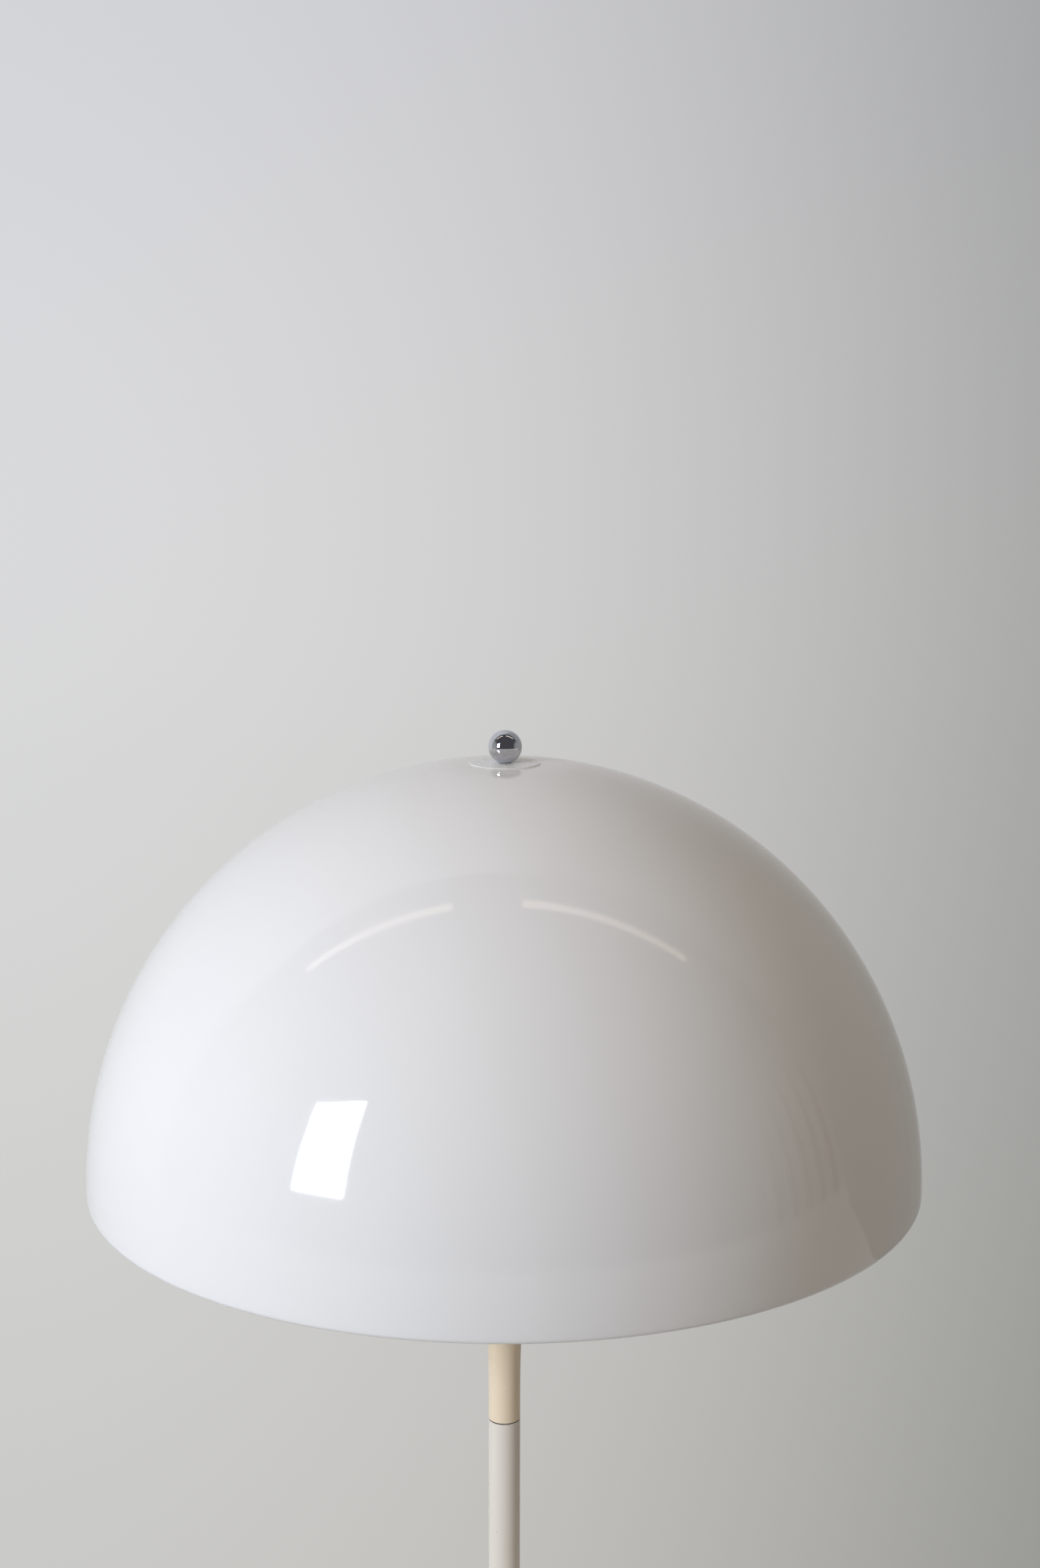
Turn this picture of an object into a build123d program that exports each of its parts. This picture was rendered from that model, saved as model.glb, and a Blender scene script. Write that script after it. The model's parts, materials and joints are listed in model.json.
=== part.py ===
from build123d import *

import math
import os

# Mushroom floor lamp. Millimetres, +Z up, origin on the floor under the lamp's axis.
# Radii and heights are given in the plane of the axis: (radius, height).

# ---- Driving dimensions ----
OVERALL_HEIGHT = 1305.0
SHADE_DIAMETER = 500.0
SHADE_WALL = 3.0
CROWN_RISE = 248.0  # flattened crown above the shade's widest line
CROWN_BLEND_RADIUS = 130.0
BALL_DIAMETER = 20.0
CROWN_WASHER_DIAMETER = 42.0
CROWN_WASHER_THICKNESS = 0.8
STEM_DIAMETER = 19.6
STEM_WALL = 1.2
NECK_SEAM_DROP = 163.6  # seam of neck and tube below the shade's widest line
SEAM_THICKNESS = 0.9
FOOT_DIAMETER = 285.0

# The two trumpets share one flare. It widens slowly at the neck and fast at the mouth.
NECK_GAIN = 0.62  # how much the radius has grown ...
NECK_GAIN_HEIGHT = 50.6  # ... this far from the neck's end
BELL_RADIUS = 122.0
BELL_RISE = 48.0  # mouth of the upper trumpet above the shade's widest line
TRUMPET_WALL = 2.5
FLARE_STEPS = (0, 0.35, 0.5, 0.62, 0.72, 0.81, 0.88, 0.94, 1.0)

FOOT_WALL = 3.0
FOOT_EDGE_RADIUS = 8.0
FOOT_BAND_TOP = 14.5
FLOOR_GAP = 1.5

ROD_RADIUS = 5.0  # M10 x 1 hollow rods in the neck and the foot
ROD_BORE_RADIUS = 3.5
STUD_RADIUS = 2.5  # M5 stud under the ball
STUD_ROOT = 7.0  # length of the stud in its hub
STUD_REACH = 6.6  # length of the stud in the ball
SLIP = 0.05  # radial clearance of a shaft in its hole

# ---- Derived heights and radii ----
SHADE_RADIUS = SHADE_DIAMETER / 2
BALL_RADIUS = BALL_DIAMETER / 2
BUSH_RADIUS = 3.6
BUSH_LENGTH = 9.0
BUSH_SET_BACK = 0.2  # of the bush behind the ball's drilled flat
BALL_BORE_RADIUS = BUSH_RADIUS + SLIP
BALL_SEAT = math.sqrt(BALL_RADIUS**2 - BALL_BORE_RADIUS**2)  # ball centre above its drilled flat
BALL_CENTRE_Z = OVERALL_HEIGHT - BALL_RADIUS
BALL_FLAT_Z = BALL_CENTRE_Z - BALL_SEAT
CROWN_Z = BALL_FLAT_Z - CROWN_WASHER_THICKNESS
EQUATOR_Z = CROWN_Z - CROWN_RISE
CROWN_UNDERSIDE_Z = CROWN_Z - SHADE_WALL

STEM_RADIUS = STEM_DIAMETER / 2
NECK_SEAM_Z = EQUATOR_Z - NECK_SEAM_DROP
STEM_TOP_Z = NECK_SEAM_Z - SEAM_THICKNESS
BELL_HEIGHT = NECK_SEAM_DROP + BELL_RISE
FLARE_POWER = math.log((BELL_RADIUS - STEM_RADIUS) / NECK_GAIN) / math.log(BELL_HEIGHT / NECK_GAIN_HEIGHT)


def flare_point(height, inset=0.0):
    """Point on the flare at this distance from the neck's end, moved in square to the curve."""
    gain = NECK_GAIN * (height / NECK_GAIN_HEIGHT) ** FLARE_POWER
    slope = flare_slope(height)
    length = math.hypot(1, slope)
    return (STEM_RADIUS + gain - inset / length, height + inset * slope / length)


def flare_slope(height):
    """Growth of the radius per unit of height."""
    return FLARE_POWER * NECK_GAIN / NECK_GAIN_HEIGHT * (height / NECK_GAIN_HEIGHT) ** (FLARE_POWER - 1)


def flare_height(radius):
    """Distance from the neck's end at which the flare has this radius."""
    return NECK_GAIN_HEIGHT * ((radius - STEM_RADIUS) / NECK_GAIN) ** (1 / FLARE_POWER)


def flare_curve(start, end, inset=0.0, place=lambda point: point):
    """Spline along the flare from one height to another; place maps (radius, height) to the lamp."""
    heights = [start + (end - start) * step for step in FLARE_STEPS]
    if end < start:
        heights = [end + (start - end) * step for step in reversed(FLARE_STEPS)]
    origin = place((0, 0))
    ends = [place((flare_slope(h), 1)) for h in (heights[0], heights[-1])]
    direction = 1 if end > start else -1
    tangents = [(direction * (t[0] - origin[0]), direction * (t[1] - origin[1])) for t in ends]
    return Spline([place(flare_point(h, inset)) for h in heights], tangents=tangents)


# Foot: the same flare upside down, with a rounded edge over a short upright band
FOOT_RADIUS = FOOT_DIAMETER / 2


def foot_edge_angle(radius):
    """Angle of the flare's outward normal above the horizontal, in degrees."""
    return 90 - math.degrees(math.atan(1 / flare_slope(flare_height(radius))))


FOOT_FLARE_RADIUS = FOOT_RADIUS - FOOT_EDGE_RADIUS * 0.6
FOOT_NORMAL = math.radians(foot_edge_angle(FOOT_FLARE_RADIUS))
FOOT_FLARE_HEIGHT = flare_height(FOOT_FLARE_RADIUS)
FOOT_ARC_X = FOOT_FLARE_RADIUS - FOOT_EDGE_RADIUS * math.cos(FOOT_NORMAL)
FOOT_TOP_Z = FOOT_BAND_TOP + FOOT_EDGE_RADIUS * math.sin(FOOT_NORMAL) + FOOT_FLARE_HEIGHT
FOOT_OUTER_RADIUS = FOOT_ARC_X + FOOT_EDGE_RADIUS

# Stack in the foot
FELT_THICKNESS = 2.5
PLATE_THICKNESS = 1.5
PLATE_RADIUS = 134.0
WEIGHT_BOTTOM_Z = FELT_THICKNESS + PLATE_THICKNESS
WEIGHT_TOP_Z = 16.0
WEIGHT_RADIUS = 130.0
HUB_RADIUS = 24.0
HUB_TOP_Z = 30.0
HUB_RECESS_RADIUS = 14.0
HUB_RECESS_TOP_Z = 18.0
GLAND_Z = 8.5
GLAND_RADIUS = 5.5
GLAND_BORE_RADIUS = 3.6
CHANNEL_SIZE = 9.0
RIB_MIDDLE_RADIUS = 91.0
RIB_LENGTH = 42.0
RIB_THICKNESS = 2.5
RIB_HEIGHT = 38.0
PLATE_SCREW_REACH = 70.0
PLATE_SCREW_RADIUS = 2.0
PLATE_SCREW_TOP_Z = 12.5
PLUG_LENGTH = 22.0

# Stack in the neck, upwards from the trumpet's inner web
WEB_TOP_STEP = 120.5  # along the flare
WEB_BOTTOM_STEP = 117.0
WEB_TOP_Z = NECK_SEAM_Z + flare_point(WEB_TOP_STEP, TRUMPET_WALL)[1]
TRUMPET_WASHER_TOP_Z = WEB_TOP_Z + 1.5
TRUMPET_NUT_TOP_Z = TRUMPET_WASHER_TOP_Z + 6.0
SADDLE_THICKNESS = 2.0
SADDLE_TOP_Z = TRUMPET_NUT_TOP_Z + SADDLE_THICKNESS
HOLDER_Z = SADDLE_TOP_Z  # underside of the lampholder

# Lampholder and bulb, above the lampholder's underside
CAP_SHOULDER = 14.5
CORE_BOTTOM = 18.5
CORE_TOP = 25.5
CAP_TOP = 24.5
SKIRT_TOP = 52.5
CONTACT_TOP = 28.3  # where the bulb's contact rests
TERMINAL_X = 8.0
TERMINAL_DEPTH = 5.5
BULB_LENGTH = 105.0
BULB_RADIUS = 30.0
GLASS_WALL = 0.8

# Hoop round the bulb
WIRE_RADIUS = 2.5
HOOP_FOOT_X = 18.0
HOOP_WIDE_X = 54.0
HOOP_TOP_X = 15.0
HOOP_THREAD = 7.5  # wire below the saddle's top, for the nut
HOOP_WIDE_LOW = 66.0  # the straight sides, above the saddle
HOOP_WIDE_HIGH = 152.0
HUB_WIRE_Z = CROWN_UNDERSIDE_Z - 15.0
HOOP_NUT_HEIGHT = 4.0
SEAT_WASHER_THICKNESS = 2.7
HUB_FLANGE_TOP_Z = CROWN_UNDERSIDE_Z - SEAT_WASHER_THICKNESS


def turned(*outline):
    """Solid of revolution about the lamp's axis, from the closed outline of (radius, height)."""
    return revolve(Plane.XZ * make_face(outline), Axis.Z)


def turned_polygon(*points):
    """Solid of revolution from an outline of straight lines."""
    return turned(Polyline(*points, close=True))


def ring(outer, inner, bottom, top):
    """Plain ring or tube on the lamp's axis."""
    return turned_polygon((inner, bottom), (outer, bottom), (outer, top), (inner, top))


def cylinder(radius, bottom, top, x=0.0, y=0.0):
    """Upright cylinder between two heights."""
    return Pos(x, y, bottom) * extrude(Circle(radius), top - bottom)


def hex_nut(across_flats, bore, bottom, height, x=0.0):
    """Hexagon nut with its corners turned down at both ends."""
    corner = across_flats / math.sqrt(3)
    blank = extrude(RegularPolygon(corner, 6), height)
    bevel = (corner - across_flats / 2) * 0.6
    rim = corner + 1
    turned_down = turned_polygon(
        (0, 0),
        (corner - bevel, 0),
        (rim, (rim - corner + bevel) * 0.58),
        (rim, height - (rim - corner + bevel) * 0.58),
        (corner - bevel, height),
        (0, height),
    )
    return Pos(x, 0, bottom) * (blank & turned_down - cylinder(bore, 0, height))


# ---- Shade and finial ----


def shade():
    """Opal half-sphere with a flattened crown, a rounded lower edge and a hole for the stud."""
    blend_z = CROWN_RISE - CROWN_BLEND_RADIUS
    blend_x = math.sqrt((SHADE_RADIUS - CROWN_BLEND_RADIUS) ** 2 - blend_z**2)
    blend_angle = math.degrees(math.atan2(blend_z, blend_x))
    hole = STUD_RADIUS + 1.0
    inner = SHADE_RADIUS - SHADE_WALL
    under = CROWN_RISE - SHADE_WALL
    body = turned(
        Line((hole, CROWN_RISE), (blend_x, CROWN_RISE)),
        CenterArc((blend_x, blend_z), CROWN_BLEND_RADIUS, 90, blend_angle - 90),
        CenterArc((0, 0), SHADE_RADIUS, blend_angle, -blend_angle),
        CenterArc((inner, 0), SHADE_WALL, 0, -90),
        Line((inner, -SHADE_WALL), (inner, 0)),
        CenterArc((0, 0), inner, 0, blend_angle),
        CenterArc((blend_x, blend_z), CROWN_BLEND_RADIUS - SHADE_WALL, blend_angle, 90 - blend_angle),
        Line((blend_x, under), (hole, under)),
        Line((hole, under), (hole, CROWN_RISE)),
    )
    return Pos(0, 0, EQUATOR_Z) * body


def crown_washer():
    return ring(CROWN_WASHER_DIAMETER / 2, STUD_RADIUS + 0.3, CROWN_Z, BALL_FLAT_Z)


def finial_bush():
    """Threaded bush in the ball, closed at the top."""
    bottom = BALL_FLAT_Z + BUSH_SET_BACK
    top = bottom + BUSH_LENGTH
    blank = cylinder(BUSH_RADIUS, bottom, top)
    return blank - cylinder(STUD_RADIUS + SLIP, bottom, top - 1.2)


def finial_ball():
    """Ball with a flat drilled face below and a blind bore for its bush."""
    ball = Pos(0, 0, BALL_CENTRE_Z) * Sphere(BALL_RADIUS)
    bore = cylinder(BALL_BORE_RADIUS, BALL_FLAT_Z - 2, BALL_FLAT_Z + BUSH_SET_BACK + BUSH_LENGTH)
    below_flat = cylinder(BALL_RADIUS, BALL_FLAT_Z - 2, BALL_FLAT_Z)
    return ball - bore - below_flat


# ---- Hoop that carries the shade ----


def crown_stud():
    return cylinder(STUD_RADIUS, HUB_FLANGE_TOP_Z - STUD_ROOT, BALL_FLAT_Z + STUD_REACH)


def seat_washer():
    return ring(16, STUD_RADIUS + 0.3, HUB_FLANGE_TOP_Z, CROWN_UNDERSIDE_Z)


def hoop_path():
    """Centre line of the wire, from one threaded end over the hub to the other."""
    right = [
        (HOOP_FOOT_X, SADDLE_TOP_Z - HOOP_THREAD),
        (HOOP_FOOT_X, SADDLE_TOP_Z + 2.5),
        (HOOP_WIDE_X, SADDLE_TOP_Z + HOOP_WIDE_LOW),
        (HOOP_WIDE_X, SADDLE_TOP_Z + HOOP_WIDE_HIGH),
        (HOOP_TOP_X, HUB_WIRE_Z),
    ]
    left = [(-x, z) for x, z in reversed(right)]
    radii = [8, 60, 90, 12]
    return FilletPolyline(*right, *left, radius=radii + radii[::-1])


def harp():
    """Wire hoop with swaged collars that stand on the saddle."""
    path = Plane.XZ * hoop_path()
    start = Plane(origin=path @ 0, z_dir=path % 0)
    wire = sweep(start * Circle(WIRE_RADIUS), path=path)
    for side in (-1, 1):
        wire += cylinder(4.2, SADDLE_TOP_Z, SADDLE_TOP_Z + 1.2, x=side * HOOP_FOOT_X)
    return wire


def harp_hub(hoop):
    """Turned hub with a flange for the shade; the hoop's top lies in a groove under it."""
    bottom = HUB_WIRE_Z - 1.0
    blank = turned_polygon(
        (0, bottom),
        (7, bottom),
        (7, HUB_FLANGE_TOP_Z - 4.5),
        (8, HUB_FLANGE_TOP_Z - 3.5),
        (16.5, HUB_FLANGE_TOP_Z - 2.5),
        (17, HUB_FLANGE_TOP_Z - 2),
        (17, HUB_FLANGE_TOP_Z),
        (0, HUB_FLANGE_TOP_Z),
    )
    return blank - hoop - cylinder(STUD_RADIUS, HUB_FLANGE_TOP_Z - STUD_ROOT, HUB_FLANGE_TOP_Z)


def harp_nuts():
    bottom = SADDLE_TOP_Z - SADDLE_THICKNESS - HOOP_NUT_HEIGHT
    nuts = [hex_nut(8, WIRE_RADIUS, bottom, HOOP_NUT_HEIGHT, x=side * HOOP_FOOT_X) for side in (-1, 1)]
    return Compound(children=nuts)


def harp_saddle():
    """Strip with rounded ends, clamped under the lampholder."""
    bottom = SADDLE_TOP_Z - SADDLE_THICKNESS
    strip = Pos(0, 0, bottom) * extrude(SlotOverall(2 * HOOP_FOOT_X + 10, 11), SADDLE_THICKNESS)
    strip += cylinder(11, bottom, SADDLE_TOP_Z)
    strip -= cylinder(ROD_RADIUS + SLIP, bottom, SADDLE_TOP_Z)
    for side in (-1, 1):
        strip -= cylinder(WIRE_RADIUS + SLIP, bottom, SADDLE_TOP_Z, x=side * HOOP_FOOT_X)
    return strip


# ---- Upper trumpet and what clamps it on the tube ----


def on_neck(point):
    """Place on the upper trumpet, whose neck ends at the seam and opens upwards."""
    return (point[0], NECK_SEAM_Z + point[1])


def reflector_trumpet():
    """Thin trumpet with a rounded mouth and a holed web in its throat."""
    rim_out = on_neck(flare_point(BELL_HEIGHT))
    rim_in = on_neck(flare_point(BELL_HEIGHT, TRUMPET_WALL))
    slope = flare_slope(BELL_HEIGHT)
    along = math.hypot(1, slope)
    rim_tip = (
        (rim_out[0] + rim_in[0]) / 2 + TRUMPET_WALL / 2 * slope / along,
        (rim_out[1] + rim_in[1]) / 2 + TRUMPET_WALL / 2 / along,
    )
    web_top = on_neck(flare_point(WEB_TOP_STEP, TRUMPET_WALL))
    web_bottom = on_neck(flare_point(WEB_BOTTOM_STEP, TRUMPET_WALL))
    hole = ROD_RADIUS + 0.2
    return turned(
        flare_curve(0, BELL_HEIGHT, 0, on_neck),
        ThreePointArc(rim_out, rim_tip, rim_in),
        flare_curve(BELL_HEIGHT, WEB_TOP_STEP, TRUMPET_WALL, on_neck),
        Line(web_top, (hole, web_top[1])),
        Line((hole, web_top[1]), (hole, web_bottom[1])),
        Line((hole, web_bottom[1]), web_bottom),
        flare_curve(WEB_BOTTOM_STEP, 0, TRUMPET_WALL, on_neck),
        Line(on_neck(flare_point(0, TRUMPET_WALL)), on_neck(flare_point(0))),
    )


def trumpet_washer():
    return ring(13.5, ROD_RADIUS + 0.2, WEB_TOP_Z, TRUMPET_WASHER_TOP_Z)


def trumpet_nut():
    height = TRUMPET_NUT_TOP_Z - TRUMPET_WASHER_TOP_Z
    return hex_nut(17, ROD_RADIUS, TRUMPET_WASHER_TOP_Z, height)


def neck_nipple():
    """Hollow threaded rod from the tube's plug to the lampholder."""
    return ring(ROD_RADIUS, ROD_BORE_RADIUS, STEM_TOP_Z - PLUG_LENGTH, HOLDER_Z + 7.5)


def seam_ring(bottom):
    """Dark ring, set back a little from the tube's face."""
    return ring(STEM_RADIUS - 0.5, ROD_RADIUS + 0.3, bottom, bottom + SEAM_THICKNESS)


# ---- Lampholder ----


def holder_cap():
    """Bell-shaped cap that screws on the rod and holds the porcelain core."""
    low = HOLDER_Z
    return turned_polygon(
        (ROD_RADIUS, low),
        (8.5, low),
        (8.5, low + 3.5),
        (12, low + 7),
        (18.3, low + 12.5),
        (19.5, low + CAP_SHOULDER),
        (19.5, low + 22.5),
        (18.2, low + 22.5),
        (18.2, low + CAP_TOP),
        (17.0, low + CAP_TOP),
        (17.0, low + CORE_BOTTOM),
        (15.0, low + CORE_BOTTOM),
        (15.0, low + 14),
        (10.5, low + 9.5),
        (ROD_RADIUS, low + 7.5),
    )


def holder_core():
    """Porcelain disc with a rivet hole and two bores for the terminal screws."""
    low = HOLDER_Z
    core = ring(16.9, 2.0, low + CORE_BOTTOM, low + CORE_TOP)
    for x in (-TERMINAL_X, TERMINAL_X):
        core -= cylinder(1.5, low + CORE_BOTTOM, low + CORE_BOTTOM + TERMINAL_DEPTH, x=x)
    return core


def terminal_screws():
    """Two cheese-head screws under the core, where the leads would be clamped."""
    low = HOLDER_Z + CORE_BOTTOM
    screw = cylinder(2.8, low - 2, low) + cylinder(1.5, low, low + TERMINAL_DEPTH)
    return Compound(children=[Pos(x, 0, 0) * screw for x in (-TERMINAL_X, TERMINAL_X)])


def holder_screw_shell():
    """Threaded brass sleeve for the bulb's cap, turned in at the bottom."""
    low = HOLDER_Z + CORE_TOP
    return turned_polygon(
        (9, low), (14.3, low), (14.3, low + 21), (13.6, low + 21), (13.6, low + 0.6), (9, low + 0.6)
    )


def holder_contact():
    """Sprung brass tongue under the bulb."""
    low = HOLDER_Z + CORE_TOP
    high = HOLDER_Z + CONTACT_TOP
    leaf = Polyline(
        (-7, low),
        (-3.3, low),
        (-1, high - 0.6),
        (4.5, high - 0.6),
        (4.5, high),
        (-1.4, high),
        (-3.7, low + 0.6),
        (-7, low + 0.6),
        close=True,
    )
    return Pos(-3.5, 0, 0) * extrude(Plane.YZ * make_face(leaf), 7.0)


def holder_skirt():
    """Ribbed sleeve that screws over the cap and round the screw shell."""
    low = HOLDER_Z
    return turned_polygon(
        (18.3, low + 22.7),
        (20.0, low + 22.7),
        (20.5, low + 24),
        (20.5, low + 31),
        (18.5, low + 34),
        (18.0, low + SKIRT_TOP - 1),
        (17.0, low + SKIRT_TOP),
        (15.0, low + SKIRT_TOP),
        (14.6, low + SKIRT_TOP - 0.5),
        (14.6, low + CORE_TOP + 2),
        (17.1, low + CORE_TOP),
        (18.3, low + CORE_TOP),
    )


# ---- Bulb ----


def bulb_contact():
    low = HOLDER_Z + CONTACT_TOP
    return turned_polygon((0, low), (4.0, low), (4.8, low + 0.8), (0, low + 0.8))


def bulb_insulator():
    low = HOLDER_Z + CONTACT_TOP + 0.8
    return turned_polygon((0, low), (4.8, low), (10.8, low + 2.8), (10.8, low + 3.6), (0, low + 3.6))


def bulb_cap():
    """Thin screw cap, open at the top, with a turned-out edge."""
    low = HOLDER_Z + CONTACT_TOP + 4.4
    return turned_polygon(
        (0, low),
        (11.2, low),
        (13.2, low + 2.1),
        (13.2, low + 21),
        (14.0, low + 22.5),
        (14.0, low + 24),
        (13.5, low + 24),
        (12.7, low + 22),
        (12.7, low + 2.5),
        (11.0, low + 0.8),
        (0, low + 0.8),
    )


def glass_outline(radius, neck, low, high):
    """Neck, shoulder and globe of the bulb's glass as three joined curves."""
    globe_z = HOLDER_Z + CONTACT_TOP + BULB_LENGTH - BULB_RADIUS
    angle = 36.0
    lean = math.radians(angle)
    join = (radius * math.cos(lean), globe_z - radius * math.sin(lean))
    return [
        Line((neck, low), (neck, high)),
        Spline([(neck, high), join], tangents=[(0, 1), (math.sin(lean), math.cos(lean))]),
        CenterArc((0, globe_z), radius, -angle, 90 + angle),
    ]


def bulb_glass():
    """Thin opal globe on a neck that stands in the cap."""
    low = HOLDER_Z + CONTACT_TOP + 18
    high = HOLDER_Z + CONTACT_TOP + 28
    top = HOLDER_Z + CONTACT_TOP + BULB_LENGTH
    neck = 12.6
    outer = glass_outline(BULB_RADIUS, neck, low, high)
    inner = glass_outline(BULB_RADIUS - GLASS_WALL, neck - GLASS_WALL, low, high)
    ends = [Line((neck, low), (neck - GLASS_WALL, low)), Line((0, top), (0, top - GLASS_WALL))]
    return turned(*outer, *inner, *ends)


# ---- Tube ----


def stem_tube():
    return ring(STEM_RADIUS, STEM_RADIUS - STEM_WALL, FOOT_TOP_Z + SEAM_THICKNESS, STEM_TOP_Z)


def tube_plug(bottom):
    """Threaded plug pressed into the tube's end."""
    return ring(STEM_RADIUS - STEM_WALL, ROD_RADIUS, bottom, bottom + PLUG_LENGTH)


# ---- Foot ----


def on_foot(point):
    """Place on the foot, whose neck ends at the lower seam and opens downwards."""
    return (point[0], FOOT_TOP_Z - point[1])


def foot_outline(inset, bottom):
    """Outline of the foot from the top of its neck to the bottom of its band, then to the axis."""
    normal = math.degrees(FOOT_NORMAL)
    edge = FOOT_OUTER_RADIUS - inset
    neck = on_foot(flare_point(0, inset))
    return [
        flare_curve(0, FOOT_FLARE_HEIGHT, inset, on_foot),
        CenterArc((FOOT_ARC_X, FOOT_BAND_TOP), FOOT_EDGE_RADIUS - inset, normal, -normal),
        Line((edge, FOOT_BAND_TOP), (edge, bottom)),
        Line((edge, bottom), (0, bottom)),
        Line((0, bottom), (0, neck[1])),
        Line((0, neck[1]), neck),
    ]


def foot_ribs():
    """Six upright webs that stand on the weight; the shell's inner face trims them."""
    web = Box(RIB_LENGTH, RIB_THICKNESS, RIB_HEIGHT)
    web = Pos(RIB_MIDDLE_RADIUS, 0, WEIGHT_TOP_Z + RIB_HEIGHT / 2) * web
    return [Rot(0, 0, turn) * web for turn in range(0, 360, 60)]


def foot_shell():
    """Trumpet foot: a thin shell with ribs inside and a notch for the gland in its edge."""
    hollow = turned(*foot_outline(FOOT_WALL, FLOOR_GAP))
    for rib in foot_ribs():
        hollow -= rib
    shell = turned(*foot_outline(0, FLOOR_GAP)) - hollow
    half_width = GLAND_RADIUS + SLIP
    opening = Circle(half_width) + Pos(0, -GLAND_Z / 2) * Rectangle(2 * half_width, GLAND_Z)
    notch = Pos(0, FOOT_OUTER_RADIUS + 4, GLAND_Z) * Rot(90, 0, 0) * extrude(opening, 12)
    return shell - notch


def base_weight():
    """Cast disc with a threaded hub, a recess under it and a channel for the cord."""
    disc = turned_polygon(
        (0, WEIGHT_BOTTOM_Z),
        (WEIGHT_RADIUS, WEIGHT_BOTTOM_Z),
        (WEIGHT_RADIUS, 11),
        (123, WEIGHT_TOP_Z),
        (HUB_RADIUS + 8, WEIGHT_TOP_Z),
        (HUB_RADIUS, WEIGHT_TOP_Z + 8),
        (HUB_RADIUS, HUB_TOP_Z),
        (0, HUB_TOP_Z),
    )
    disc -= cylinder(HUB_RECESS_RADIUS, WEIGHT_BOTTOM_Z, HUB_RECESS_TOP_Z)
    disc -= cylinder(ROD_RADIUS, HUB_RECESS_TOP_Z, HUB_TOP_Z)
    channel = Box(CHANNEL_SIZE, WEIGHT_RADIUS, CHANNEL_SIZE)
    disc -= Pos(0, WEIGHT_RADIUS / 2 + 5, WEIGHT_BOTTOM_Z + CHANNEL_SIZE / 2) * channel
    for x, y in screw_places():
        disc -= cylinder(PLATE_SCREW_RADIUS, WEIGHT_BOTTOM_Z, PLATE_SCREW_TOP_Z, x, y)
    return disc


def screw_places():
    """Places of the three screws that hold the bottom plate."""
    turns = [math.radians(angle) for angle in (30, 150, 270)]
    return [(PLATE_SCREW_REACH * math.cos(turn), PLATE_SCREW_REACH * math.sin(turn)) for turn in turns]


def bottom_plate():
    plate = cylinder(PLATE_RADIUS, FELT_THICKNESS, WEIGHT_BOTTOM_Z)
    for x, y in screw_places():
        plate -= cylinder(PLATE_SCREW_RADIUS + 0.2, FELT_THICKNESS, WEIGHT_BOTTOM_Z, x, y)
    return plate


def bottom_screws():
    head = turned_polygon((0, 0.5), (3.0, 0.5), (3.8, 1.3), (3.8, FELT_THICKNESS), (0, FELT_THICKNESS))
    screw = head + cylinder(PLATE_SCREW_RADIUS, FELT_THICKNESS, PLATE_SCREW_TOP_Z)
    return Compound(children=[Pos(x, y, 0) * screw for x, y in screw_places()])


def floor_ring():
    return ring(130, 108, 0, FELT_THICKNESS)


def cord_gland():
    """Round bush in the foot's edge, with a flange inside and a rounded nose outside."""
    nose = FOOT_OUTER_RADIUS - 0.15
    back = FOOT_OUTER_RADIUS - FOOT_WALL - 3.0
    bush = turned_polygon(
        (GLAND_BORE_RADIUS, back),
        (6.9, back),
        (6.9, FOOT_OUTER_RADIUS - FOOT_WALL - 0.3),
        (GLAND_RADIUS, FOOT_OUTER_RADIUS - FOOT_WALL - 0.3),
        (GLAND_RADIUS, nose - 0.8),
        (GLAND_RADIUS - 0.8, nose),
        (GLAND_BORE_RADIUS, nose),
    )
    return Pos(0, 0, GLAND_Z) * Rot(-90, 0, 0) * bush


def foot_nipple():
    """Hollow threaded rod that ties the weight, the foot and the tube's plug together."""
    return ring(ROD_RADIUS, ROD_BORE_RADIUS, HUB_RECESS_TOP_Z, FOOT_TOP_Z + SEAM_THICKNESS + PLUG_LENGTH)


def foot_lock_washer():
    return ring(10, ROD_RADIUS + 0.2, HUB_TOP_Z, HUB_TOP_Z + 1.5)


def foot_lock_nut():
    return hex_nut(17, ROD_RADIUS, HUB_TOP_Z + 1.5, 6)


def all_parts():
    """Every sub-part by the name of its node."""
    hoop = harp()
    return {
        "shade": shade(),
        "crown_washer": crown_washer(),
        "finial_bush": finial_bush(),
        "finial_ball": finial_ball(),
        "crown_stud": crown_stud(),
        "seat_washer": seat_washer(),
        "harp": hoop,
        "harp_hub": harp_hub(hoop),
        "harp_nuts": harp_nuts(),
        "harp_saddle": harp_saddle(),
        "reflector_trumpet": reflector_trumpet(),
        "trumpet_washer": trumpet_washer(),
        "trumpet_nut": trumpet_nut(),
        "neck_nipple": neck_nipple(),
        "neck_seam_ring": seam_ring(STEM_TOP_Z),
        "holder_cap": holder_cap(),
        "holder_core": holder_core(),
        "terminal_screws": terminal_screws(),
        "holder_screw_shell": holder_screw_shell(),
        "holder_contact": holder_contact(),
        "holder_skirt": holder_skirt(),
        "bulb_contact": bulb_contact(),
        "bulb_insulator": bulb_insulator(),
        "bulb_cap": bulb_cap(),
        "bulb_glass": bulb_glass(),
        "upper_plug": tube_plug(STEM_TOP_Z - PLUG_LENGTH),
        "stem_tube": stem_tube(),
        "lower_plug": tube_plug(FOOT_TOP_Z + SEAM_THICKNESS),
        "foot_seam_ring": seam_ring(FOOT_TOP_Z),
        "foot_shell": foot_shell(),
        "foot_nipple": foot_nipple(),
        "foot_lock_washer": foot_lock_washer(),
        "foot_lock_nut": foot_lock_nut(),
        "base_weight": base_weight(),
        "bottom_plate": bottom_plate(),
        "bottom_screws": bottom_screws(),
        "floor_ring": floor_ring(),
        "cord_gland": cord_gland(),
    }


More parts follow.
